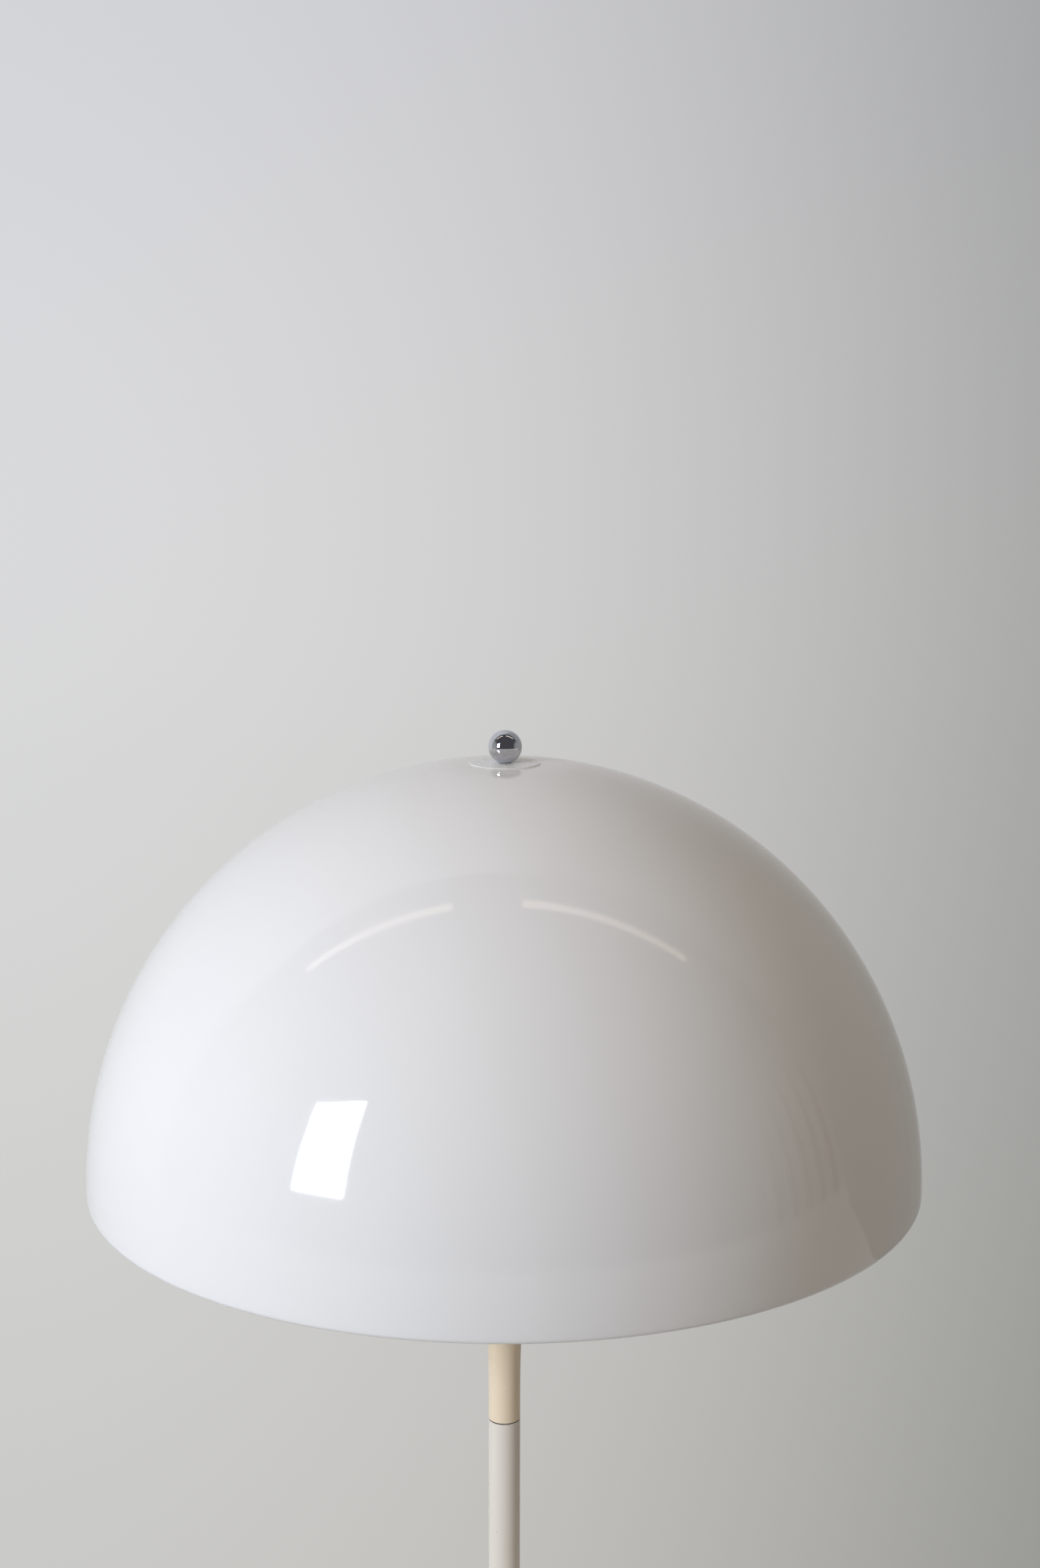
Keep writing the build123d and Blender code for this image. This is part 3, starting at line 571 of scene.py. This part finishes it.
# %% [markdown]
# ## Turned pieces
# Most of the lamp is round about one upright axis: the dome was blown on a ring, the ball, hub and
# bushes came off a lathe, and the bulb was blown in a turning mould. A lathe tree does the same
# here. It takes an outline of points, each a radius and a height, and carries it round the axis on
# a grid. The same tree cuts screw threads and grips: where a point carries the value "cut", a wave
# runs round the surface. A wave that also climbs is a thread, and one that only goes round is a
# ribbed grip.

# %% Start and end of a geometry tree
SHARP_CORNER = math.radians(32)  # edges that bend more than this stay sharp


def new_tree(name, **inputs):
    """A geometry tree with named inputs; returns the tree, its given values and its output node."""
    tree = bpy.data.node_groups.new(name, "GeometryNodeTree")
    tree.interface.new_socket("Geometry", in_out="OUTPUT", socket_type="NodeSocketGeometry")
    for label, kind in inputs.items():
        title = label.replace("_", " ")
        tree.interface.new_socket(title, in_out="INPUT", socket_type="NodeSocket" + kind)
    return tree, add(tree, "NodeGroupInput").outputs, add(tree, "NodeGroupOutput")


def soften(tree, mesh):
    """Shade a mesh smooth and keep its corners sharp."""
    smooth = add(tree, "GeometryNodeSetShadeSmooth", mesh, None, True, domain="FACE")
    bend = add(tree, "GeometryNodeInputMeshEdgeAngle")
    corner = add(tree, "ShaderNodeMath", bend, SHARP_CORNER, operation="GREATER_THAN")
    return add(tree, "GeometryNodeSetShadeSmooth", smooth, corner, False, domain="EDGE")


def close_tree(tree, shape, given, result):
    """Make instances real, set the material and hand the shape out."""
    real = add(tree, "GeometryNodeRealizeInstances", shape)
    painted = add(tree, "GeometryNodeSetMaterial", real, None, given["Material"])
    tree.links.new(out(painted), result.inputs[0])
    print(f"tree {tree.name}: {len(tree.nodes)} nodes")


# %% Lathe tree: a grid with one line for each point of the outline
lathe, given, result = new_tree(
    "turned_outline", Outline="Geometry", Closed="Bool", Steps_Around="Int", Waves_Around="Int",
    Waves_per_Metre="Float", Cut_Depth="Float", Material="Material")
rows = add(lathe, "GeometryNodeAttributeDomainSize", given["Outline"]).outputs["Point Count"]
lines = add(lathe, "ShaderNodeMath", rows, given["Closed"], operation="ADD")
columns = add(lathe, "ShaderNodeMath", given["Steps Around"], 1, operation="ADD")
grid = add(lathe, "GeometryNodeMeshGrid", 1, 1, columns, lines)
index = add(lathe, "GeometryNodeInputIndex")
column = add(lathe, "ShaderNodeMath", index, lines, operation="DIVIDE")
column = add(lathe, "ShaderNodeMath", column, operation="FLOOR")
angle = add(lathe, "ShaderNodeMath", column, given["Steps Around"], operation="DIVIDE")
angle = add(lathe, "ShaderNodeMath", angle, 2 * math.pi, operation="MULTIPLY")
line = add(lathe, "ShaderNodeMath", index, lines, operation="MODULO")
source = add(lathe, "ShaderNodeMath", line, rows, operation="MODULO")
place = add(lathe, "GeometryNodeInputPosition")
cut = add(lathe, "GeometryNodeInputNamedAttribute", "cut", data_type="FLOAT")
point = add(lathe, "GeometryNodeSampleIndex", given["Outline"], place, source,
            data_type="FLOAT_VECTOR")
amount = add(lathe, "GeometryNodeSampleIndex", given["Outline"], cut, source, data_type="FLOAT")
axes = add(lathe, "ShaderNodeSeparateXYZ", point).outputs

# %% Lathe tree: the wave of a thread or a grip, and the turn about the axis
SAME_POINT = 0.001 * MM  # closer points than this are sewn together

climb = add(lathe, "ShaderNodeMath", axes["Z"], given["Waves per Metre"], operation="MULTIPLY")
climb = add(lathe, "ShaderNodeMath", climb, 2 * math.pi, operation="MULTIPLY")
around = add(lathe, "ShaderNodeMath", angle, given["Waves Around"], operation="MULTIPLY")
phase = add(lathe, "ShaderNodeMath", climb, around, operation="SUBTRACT")
wave = add(lathe, "ShaderNodeMath", phase, operation="COSINE")
wave = add(lathe, "ShaderNodeMath", wave, 0.5, -0.5, operation="MULTIPLY_ADD")
depth = add(lathe, "ShaderNodeMath", amount, given["Cut Depth"], operation="MULTIPLY")
radius = add(lathe, "ShaderNodeMath", wave, depth, axes["X"], operation="MULTIPLY_ADD")
spoke = add(lathe, "ShaderNodeCombineXYZ", radius, 0, axes["Z"])
carried = add(lathe, "ShaderNodeVectorRotate", spoke, None, angle, rotation_type="Z_AXIS")
formed = add(lathe, "GeometryNodeSetPosition", grid, None, carried)
sewn = add(lathe, "GeometryNodeMergeByDistance", formed, None, SAME_POINT)
close_tree(lathe, soften(lathe, sewn), given, result)

# %% [markdown]
# A tree is run once on a start mesh, its result is kept as a plain mesh, and the modifier goes. An
# outline lists (radius, height) in millimetres with the material on its left, so faces look
# outwards. A third number on a point says how much of the cut it gets.

# %% Running a tree
def run_trees(name, places, steps, cuts=None):
    """Run trees, given as (tree, inputs), one after another on a start mesh; keep a plain mesh."""
    start = bpy.data.meshes.new(name + "_start")
    start.from_pydata([Vector(place) * MM for place in places], [], [])
    amounts = start.attributes.new("cut", "FLOAT", "POINT")
    amounts.data.foreach_set("value", cuts or [0.0] * len(places))
    made = bpy.data.objects.new(name, start)
    bpy.context.scene.collection.objects.link(made)
    for tree, inputs in steps:
        modifier = made.modifiers.new(tree.name, "NODES")
        modifier.node_group = tree
        sockets = {item.name: item.identifier for item in tree.interface.items_tree
                   if item.in_out == "INPUT"}
        for label, value in inputs.items():
            modifier[sockets[label]] = value
    bpy.context.view_layer.update()
    seen = made.evaluated_get(bpy.context.evaluated_depsgraph_get())
    made.data = bpy.data.meshes.new_from_object(seen)
    made.data.name = name
    made.modifiers.clear()
    return made


def stand_for(made, node):
    """Let a finished piece take the place of a CAD node, and print what was measured on it."""
    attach(made, body_of[node])
    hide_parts(node)
    shell = bmesh.new()
    shell.from_mesh(made.data)
    open_edges = sum(not edge.is_manifold for edge in shell.edges)
    heights = [vertex.co.z / MM for vertex in shell.verts]
    volume = shell.calc_volume(signed=True) * 1e6
    print(f"{made.name}: {len(shell.faces)} faces, {open_edges} open edges, {volume:.2f} cm3, "
          f"{min(heights):.2f} to {max(heights):.2f} mm")
    shell.free()


def lathe_run(name, points, finish, around=96, closed=True, before=(), waves=(0, 0.0), depth=0.0):
    """Turn an outline; waves are (around, per metre) and depth is in millimetres."""
    inputs = {"Closed": closed, "Steps Around": around, "Waves Around": waves[0],
              "Waves per Metre": float(waves[1]), "Cut Depth": depth * MM, "Material": finish}
    cuts = [point[2] if len(point) > 2 else 0.0 for point in points]
    places = [(point[0], 0, point[1]) for point in points]
    return run_trees(name, places, [*before, (lathe, inputs)], cuts)


def turned(name, node, points, base, **choices):
    """Turn the piece that stands for a node; the outline's heights count from base, in metres."""
    made = lathe_run(name, points, FINISHES[slot_of[node]], **choices)
    made.data.transform(Matrix.Translation((0, 0, base)))
    stand_for(made, node)


# %% Outlines
EDGE_STEPS = 5


def arc(centre, radius, start, end, steps):
    """Points on an arc about a centre, between two angles in degrees."""
    turns = [math.radians(start + (end - start) * step / steps) for step in range(steps + 1)]
    return [(centre[0] + radius * math.cos(t), centre[1] + radius * math.sin(t)) for t in turns]


def eased_ring(inner, outer, height, edge):
    """Outline of a ring whose outer edges are rounded."""
    return [(inner, 0), *arc((outer - edge, edge), edge, -90, 0, EDGE_STEPS),
            *arc((outer - edge, height - edge), edge, 0, 90, EDGE_STEPS), (inner, height)]


def cut_wall(radius, start, end, wave, fine=10):
    """Points along a wall that a thread or a grip cuts; the cut fades over one wave at each end."""
    steps = max(6, round(abs(end - start) / wave * fine))
    heights = [start + (end - start) * step / steps for step in range(steps + 1)]
    return [(radius, z, min(1, abs(z - start) / wave, abs(end - z) / wave)) for z in heights]


# %% [markdown]
# ### The dome
# The shade is a half-sphere of 250 mm radius and 3 mm wall. Its crown is drawn down to a flat seat
# for the ball, through a tighter 130 mm bend, and its lower edge is rounded over. An outline of
# arcs, turned once, holds all of that.

# %% Dome
DOME_RADIUS = 250
CROWN_RISE = 248
CROWN_BLEND = 130
INNER_RADIUS = DOME_RADIUS - DOME_WALL
SEAT_HOLE = 3.5
UNDER_CROWN = CROWN_RISE - DOME_WALL
LIP_STEPS, BODY_STEPS, BLEND_STEPS = 6, 96, 12
blend_height = CROWN_RISE - CROWN_BLEND
blend_radius = math.sqrt((DOME_RADIUS - CROWN_BLEND) ** 2 - blend_height ** 2)
blend_angle = math.degrees(math.atan2(blend_height, blend_radius))
blend_centre = (blend_radius, blend_height)
dome_outline = (
    arc((INNER_RADIUS, 0), DOME_WALL, -90, 0, LIP_STEPS)
    + arc((0, 0), DOME_RADIUS, 0, blend_angle, BODY_STEPS)[1:]
    + arc(blend_centre, CROWN_BLEND, blend_angle, 90, BLEND_STEPS)[1:]
    + [(SEAT_HOLE, CROWN_RISE), (SEAT_HOLE, UNDER_CROWN)]
    + arc(blend_centre, CROWN_BLEND - DOME_WALL, 90, blend_angle, BLEND_STEPS)
    + arc((0, 0), INNER_RADIUS, blend_angle, 0, BODY_STEPS)[1:]
)
turned("opal_dome", "shade", dome_outline, EQUATOR, around=256)

# %% [markdown]
# ### Washer and ball
# A clear washer keeps the chrome ball from scratching the crown. The ball is a nut: it is turned
# from brass rod, drilled for a threaded bush, polished and plated. Its outline starts and ends on
# the axis, so it is left open there, and the turned surface still closes.

# %% Washer and ball
CROWN_TOP = EQUATOR + CROWN_RISE * MM
WASHER_BORE, WASHER_RADIUS, WASHER_THICKNESS, WASHER_EDGE = 2.8, 21, 0.8, 0.3
WASHER_LIFT = 0.03  # keeps its underside clear of the crown, or the two faces would flicker
ring = eased_ring(WASHER_BORE, WASHER_RADIUS, WASHER_THICKNESS - WASHER_LIFT, WASHER_EDGE)
washer_outline = [(radius, height + WASHER_LIFT) for radius, height in ring]
turned("clear_washer", "crown_washer", washer_outline, CROWN_TOP)

BALL_BORE = 3.65
BALL_BORE_DEPTH = 9.2
BALL_STEPS = 64
drill = math.degrees(math.asin(BALL_BORE / BALL_RADIUS))
flat = -BALL_RADIUS * math.cos(math.radians(drill))
bore_top = flat + BALL_BORE_DEPTH
round_side = arc((0, 0), BALL_RADIUS, -90 + drill, 90, BALL_STEPS)
ball_outline = [(0, bore_top), (BALL_BORE, bore_top), *round_side]
turned("chrome_ball", "finial_ball", ball_outline, BALL_CENTRE, closed=False)

# %% [markdown]
# ### The upper trumpet
# The trumpet under the dome is moulded in one piece, 2.5 mm thick. Its radius follows one rule: it
# starts as the tube's radius and grows with a power of the distance from the neck, slowly at first
# and fast at the mouth. The tree below takes the outline of a straight tube, as inset and height,
# and opens it by that rule. Only points that carry the value "cut" move, so the holed web in the
# throat stays flat.

# %% Flare tree
flare, given, result = new_tree(
    "flare_law", Outline="Geometry", Neck_Radius="Float", Gain="Float", Gain_Height="Float",
    Power="Float")
axes = add(flare, "ShaderNodeSeparateXYZ", add(flare, "GeometryNodeInputPosition")).outputs
share = add(flare, "ShaderNodeMath", axes["Z"], given["Gain Height"], operation="DIVIDE")
share = add(flare, "ShaderNodeMath", share, 0.0, operation="MAXIMUM")
grown = add(flare, "ShaderNodeMath", share, given["Power"], operation="POWER")
widened = add(flare, "ShaderNodeMath", grown, given["Gain"], given["Neck Radius"],
              operation="MULTIPLY_ADD")
less = add(flare, "ShaderNodeMath", given["Power"], 1.0, operation="SUBTRACT")
steep = add(flare, "ShaderNodeMath", share, less, operation="POWER")
factor = add(flare, "ShaderNodeMath", given["Gain"], given["Gain Height"], operation="DIVIDE")
factor = add(flare, "ShaderNodeMath", factor, given["Power"], operation="MULTIPLY")
slope = add(flare, "ShaderNodeMath", steep, factor, operation="MULTIPLY")
length = add(flare, "ShaderNodeMath", slope, slope, 1.0, operation="MULTIPLY_ADD")
length = add(flare, "ShaderNodeMath", length, operation="SQRT")
inward = add(flare, "ShaderNodeMath", axes["X"], length, operation="DIVIDE")
radius = add(flare, "ShaderNodeMath", widened, inward, operation="SUBTRACT")
height = add(flare, "ShaderNodeMath", inward, slope, axes["Z"], operation="MULTIPLY_ADD")
opened = add(flare, "ShaderNodeCombineXYZ", radius, 0, height)
on_wall = add(flare, "GeometryNodeInputNamedAttribute", "cut", data_type="FLOAT")
bent = add(flare, "GeometryNodeSetPosition", given["Outline"], on_wall, opened)
flare.links.new(out(bent), result.inputs[0])
print(f"tree {flare.name}: {len(flare.nodes)} nodes")

# %% Upper trumpet
TUBE_RADIUS = 9.8
BELL_RADIUS = 122
BELL_HEIGHT = 211.6
NECK_GAIN = 0.62
NECK_GAIN_HEIGHT = 50.6
TRUMPET_WALL = 2.5
WEB_START, WEB_END = 117.0, 120.5  # heights on the wall where the web starts and ends
WEB_THICKNESS = 3.56
WEB_HOLE = 5.2
OUTER_STEPS, MOUTH_STEPS, NECK_STEPS, MOUTH_LIP_STEPS = 60, 26, 34, 8
power = math.log((BELL_RADIUS - TUBE_RADIUS) / NECK_GAIN) / math.log(BELL_HEIGHT / NECK_GAIN_HEIGHT)


def climb_wall(inset, start, end, steps):
    """Points up or down the straight tube's wall, which the flare tree then opens."""
    return [(inset, start + (end - start) * step / steps, 1.0) for step in range(steps + 1)]


half = TRUMPET_WALL / 2
lip = [(x, z, 1.0) for x, z in arc((half, BELL_HEIGHT), half, 180, 0, MOUTH_LIP_STEPS)[1:-1]]
web_top = (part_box("trumpet_washer")[0].z - NECK_SEAM) / MM
trumpet_outline = (
    climb_wall(0, 0, BELL_HEIGHT, OUTER_STEPS) + lip
    + climb_wall(TRUMPET_WALL, BELL_HEIGHT, WEB_END, MOUTH_STEPS)
    + [(WEB_HOLE, web_top), (WEB_HOLE, web_top - WEB_THICKNESS)]
    + climb_wall(TRUMPET_WALL, WEB_START, 0, NECK_STEPS)
)
law = {"Neck Radius": TUBE_RADIUS * MM, "Gain": NECK_GAIN * MM,
       "Gain Height": NECK_GAIN_HEIGHT * MM, "Power": power}
turned("upper_trumpet", "reflector_trumpet", trumpet_outline, NECK_SEAM, around=192,
       before=[(flare, law)])

# %% [markdown]
# ### Tube, rubber washer and felt
# The tube is drawn steel, cut to length, and its ends are eased before the lacquer goes on. The
# rubber washer and the felt ring are stamped from sheet, and soft sheet rounds over a little where
# it is cut.

# %% Tube, rubber washer and felt
def eased(name, node, inner, outer, edge, around=96):
    """A ring with rounded outer edges, as high as the node that it stands for."""
    low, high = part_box(node)
    turned(name, node, eased_ring(inner, outer, (high.z - low.z) / MM, edge), low.z, around=around)


eased("lacquered_tube", "stem_tube", inner=8.6, outer=TUBE_RADIUS, edge=0.15)
eased("crown_cushion", "seat_washer", inner=2.8, outer=16, edge=0.5)
eased("felt_ring", "floor_ring", inner=108, outer=130, edge=0.9, around=160)

# %% [markdown]
# ### Threads
# A thread is a wave that climbs by its pitch in one turn. The stud under the ball is M5, with a
# pitch of 0.8 mm, and the hollow rods in the neck and the foot are M10 with a fine pitch of 1 mm.
# The bulb's cap and the sleeve that takes it are rolled from thin sheet, so inside and outside
# follow the same wave, with a pitch of 3.63 mm. Cap and sleeve count their heights from one place,
# which keeps their waves in step.

# %% Stud and rods
def threaded_rod(name, node, bore, outer, pitch, depth, around, fine):
    """A threaded rod with turned-down ends, hollow if it has a bore; fine is steps per pitch."""
    low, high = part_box(node)
    length = (high.z - low.z) / MM
    end = pitch / 2
    thread = cut_wall(outer, end, length - end, pitch, fine)
    outline = [(bore, 0), (outer - end, 0), *thread, (outer - end, length), (bore, length)]
    turned(name, node, outline, low.z, around=around, closed=bore > 0,
           waves=(1, 1 / (pitch * MM)), depth=depth)


threaded_rod("ball_stud", "crown_stud", bore=0, outer=2.5, pitch=0.8, depth=0.43, around=40,
             fine=10)
for name, node in (("neck_rod", "neck_nipple"), ("foot_rod", "foot_nipple")):
    threaded_rod(name, node, bore=3.5, outer=5.0, pitch=1.0, depth=0.55, around=32, fine=6)

# %% Bulb cap and sleeve
LAMP_PITCH = 3.628
LAMP_WAVES = (1, 1 / (LAMP_PITCH * MM))
cap_outline = [
    (0, 32.7), (11.2, 32.7), (13.2, 34.8), *cut_wall(13.2, 35.4, 52.4, LAMP_PITCH),
    (13.2, 53.7), (14.0, 55.2), (14.0, 56.7), (13.5, 56.7), (12.8, 54.7),
    *cut_wall(12.8, 52.4, 35.4, LAMP_PITCH), (10.9, 33.1), (0, 33.1),
]
turned("screw_cap", "bulb_cap", cap_outline, HOLDER, closed=False, waves=LAMP_WAVES, depth=1.05)

sleeve_outline = [
    (9, 25.5), (14.0, 25.5), (14.3, 25.8), *cut_wall(14.3, 27.0, 45.7, LAMP_PITCH),
    (14.3, 46.5), (13.9, 46.5), *cut_wall(13.9, 45.7, 27.0, LAMP_PITCH), (13.9, 26.1), (9, 25.9),
]
turned("screw_sleeve", "holder_screw_shell", sleeve_outline, HOLDER, waves=LAMP_WAVES, depth=0.95)

# %% [markdown]
# ### The bulb's glass
# The bulb is blown into a turning mould, so it has no seam. Its globe runs into the neck in one
# soft bend, and the neck goes down into the screw cap, where cement holds it. The inner skin is the
# outer one again, 0.8 mm further in.

# %% Bulb glass
GLOBE_CENTRE = (0, 103.3)
GLOBE_RADIUS = 30
GLOBE_START = 36  # degrees below the globe's middle, where the shoulder meets it
GLASS_WALL = 0.8
NECK_POINTS = ((11.2, 46.3), (11.2, 52.5), (12.6, 58.0))  # foot, collar and start of the shoulder
GLOBE_STEPS, NECK_BEND_STEPS, SHOULDER_STEPS = 48, 6, 20


def ease(start, start_way, end, end_way, steps):
    """Points on a soft bend that leaves one way and arrives another."""
    reach = math.dist(start, end) / 3
    second = [a + way * reach for a, way in zip(start, start_way)]
    third = [a - way * reach for a, way in zip(end, end_way)]
    points = []
    for step in range(steps + 1):
        t = step / steps
        weights = ((1 - t) ** 3, 3 * t * (1 - t) ** 2, 3 * t * t * (1 - t), t ** 3)
        points.append(tuple(sum(w * p[axis] for w, p in zip(weights, (start, second, third, end)))
                            for axis in (0, 1)))
    return points


def glass_wall(inset):
    """Points up the glass, from the foot of the neck to the top of the globe."""
    globe = arc(GLOBE_CENTRE, GLOBE_RADIUS - inset, -GLOBE_START, 90, GLOBE_STEPS)
    lean = math.radians(GLOBE_START)
    up, outwards = (0, 1), (math.sin(lean), math.cos(lean))
    foot, collar, neck = [(radius - inset, height) for radius, height in NECK_POINTS]
    return [foot, *ease(collar, up, neck, up, NECK_BEND_STEPS),
            *ease(neck, up, globe[0], outwards, SHOULDER_STEPS)[1:], *globe[1:]]


globe_outline = glass_wall(GLASS_WALL)[::-1] + glass_wall(0)
turned("bulb_globe", "bulb_glass", globe_outline, HOLDER, closed=False)

# %% [markdown]
# ### The holder's grip
# The phenolic sleeve round the bulb's cap is unscrewed by hand, so its lower band is ribbed. These
# are forty waves that go round and don't climb.

# %% Holder grip
GRIP_RIBS = 40
grip_outline = [
    (18.3, 22.7), (20.0, 22.7), (20.5, 23.4), *cut_wall(20.5, 23.8, 31.0, 0.8, fine=1.5),
    (18.6, 33.9), (18.0, 51.5), (17.7, 52.2), (17.0, 52.5), (15.0, 52.5), (14.6, 52.0),
    (14.6, 27.5), (17.1, 25.5), (18.3, 25.5),
]
turned("ribbed_grip", "holder_skirt", grip_outline, HOLDER, around=8 * GRIP_RIBS,
       waves=(GRIP_RIBS, 0.0), depth=0.6)

# %% [markdown]
# ## Screws
# Screws repeat, so one blank is turned on the lathe tree and the tree below does the rest: it saws
# the slot with a box, puts a copy on every point, and turns each one at random about its own axis,
# because no two screws stop at the same angle. The seed is fixed, so the same angles come back
# every time.

# %% Slotted screw tree
SAW_LENGTH = 0.02  # metres, wider than any screw head
slotted, given, result = new_tree(
    "slotted_screws", Points="Geometry", Blank="Object", Slot_Width="Float", Slot_Depth="Float",
    Seed="Int", Material="Material")
blank = add(slotted, "GeometryNodeObjectInfo", given["Blank"]).outputs["Geometry"]
twice = add(slotted, "ShaderNodeMath", given["Slot Depth"], 2.0, operation="MULTIPLY")
size = add(slotted, "ShaderNodeCombineXYZ", SAW_LENGTH, given["Slot Width"], twice)
saw = add(slotted, "GeometryNodeMeshCube", size)
sawn = add(slotted, "GeometryNodeMeshBoolean", blank, saw, operation="DIFFERENCE")
aim = add(slotted, "FunctionNodeRandomValue", 0.0, math.pi, None, given["Seed"],
          data_type="FLOAT")
aim = add(slotted, "ShaderNodeCombineXYZ", 0, 0, aim)
screw = soften(slotted, sawn)
copies = add(slotted, "GeometryNodeInstanceOnPoints", given["Points"], None, screw, None, None,
             aim)
close_tree(slotted, copies, given, result)

# %% Screws under the foot and in the lampholder
SCREW_SEED = 7


def screws(name, node, places, head, head_height, shank, length, pitch, slot):
    """Slotted screws whose heads face down, at places given in millimetres."""
    finish = FINISHES[slot_of[node]]
    thread = cut_wall(shank, head_height + 0.1, length - 0.4, pitch, fine=8)
    blank_outline = [
        (0, 0), (head - 0.8, 0), (head - 0.25, 0.35), (head, 0.8), (head, head_height),
        (shank, head_height), *thread, (shank - 0.4, length), (0, length),
    ]
    blank = lathe_run(name + "_blank", blank_outline, finish, around=40, closed=False,
                      waves=(1, 1 / (pitch * MM)), depth=pitch / 2)
    inputs = {"Blank": blank, "Slot Width": slot * MM, "Slot Depth": slot * MM,
              "Seed": SCREW_SEED, "Material": finish}
    made = run_trees(name, places, [(slotted, inputs)])
    bpy.data.objects.remove(blank)
    made.data.transform(Matrix.Translation((0, 0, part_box(node)[0].z)))
    stand_for(made, node)


PLATE_CIRCLE = 70
LEAD_OFFSET = 8
plate_turns = [math.radians(angle) for angle in (30, 150, 270)]
plate_places = [(PLATE_CIRCLE * math.cos(t), PLATE_CIRCLE * math.sin(t), 0) for t in plate_turns]
screws("plate_screws", "bottom_screws", plate_places, head=3.8, head_height=2.0, shank=1.95,
       length=12.0, pitch=0.7, slot=1.0)
lead_places = [(-LEAD_OFFSET, 0, 0), (LEAD_OFFSET, 0, 0)]
screws("lead_screws", "terminal_screws", lead_places, head=2.8, head_height=2.0, shank=1.45,
       length=7.5, pitch=0.5, slot=0.7)

# %% [markdown]
# ## Pieces kept from the model
# The rest of the model is right as it stands: the foot with its ribs, the weight and its plate, the
# seam rings and the gland, the hoop with its hub, saddle and nuts, and the small parts of tube,
# holder and bulb. They only get their finish.

# %% Finishes of the kept pieces
kept = [node for node in slot_of if not nodes[node].hide_render]
for node in kept:
    nodes[node].data.materials.clear()
    nodes[node].data.materials.append(FINISHES[slot_of[node]])
print("kept from the model:", ", ".join(kept))
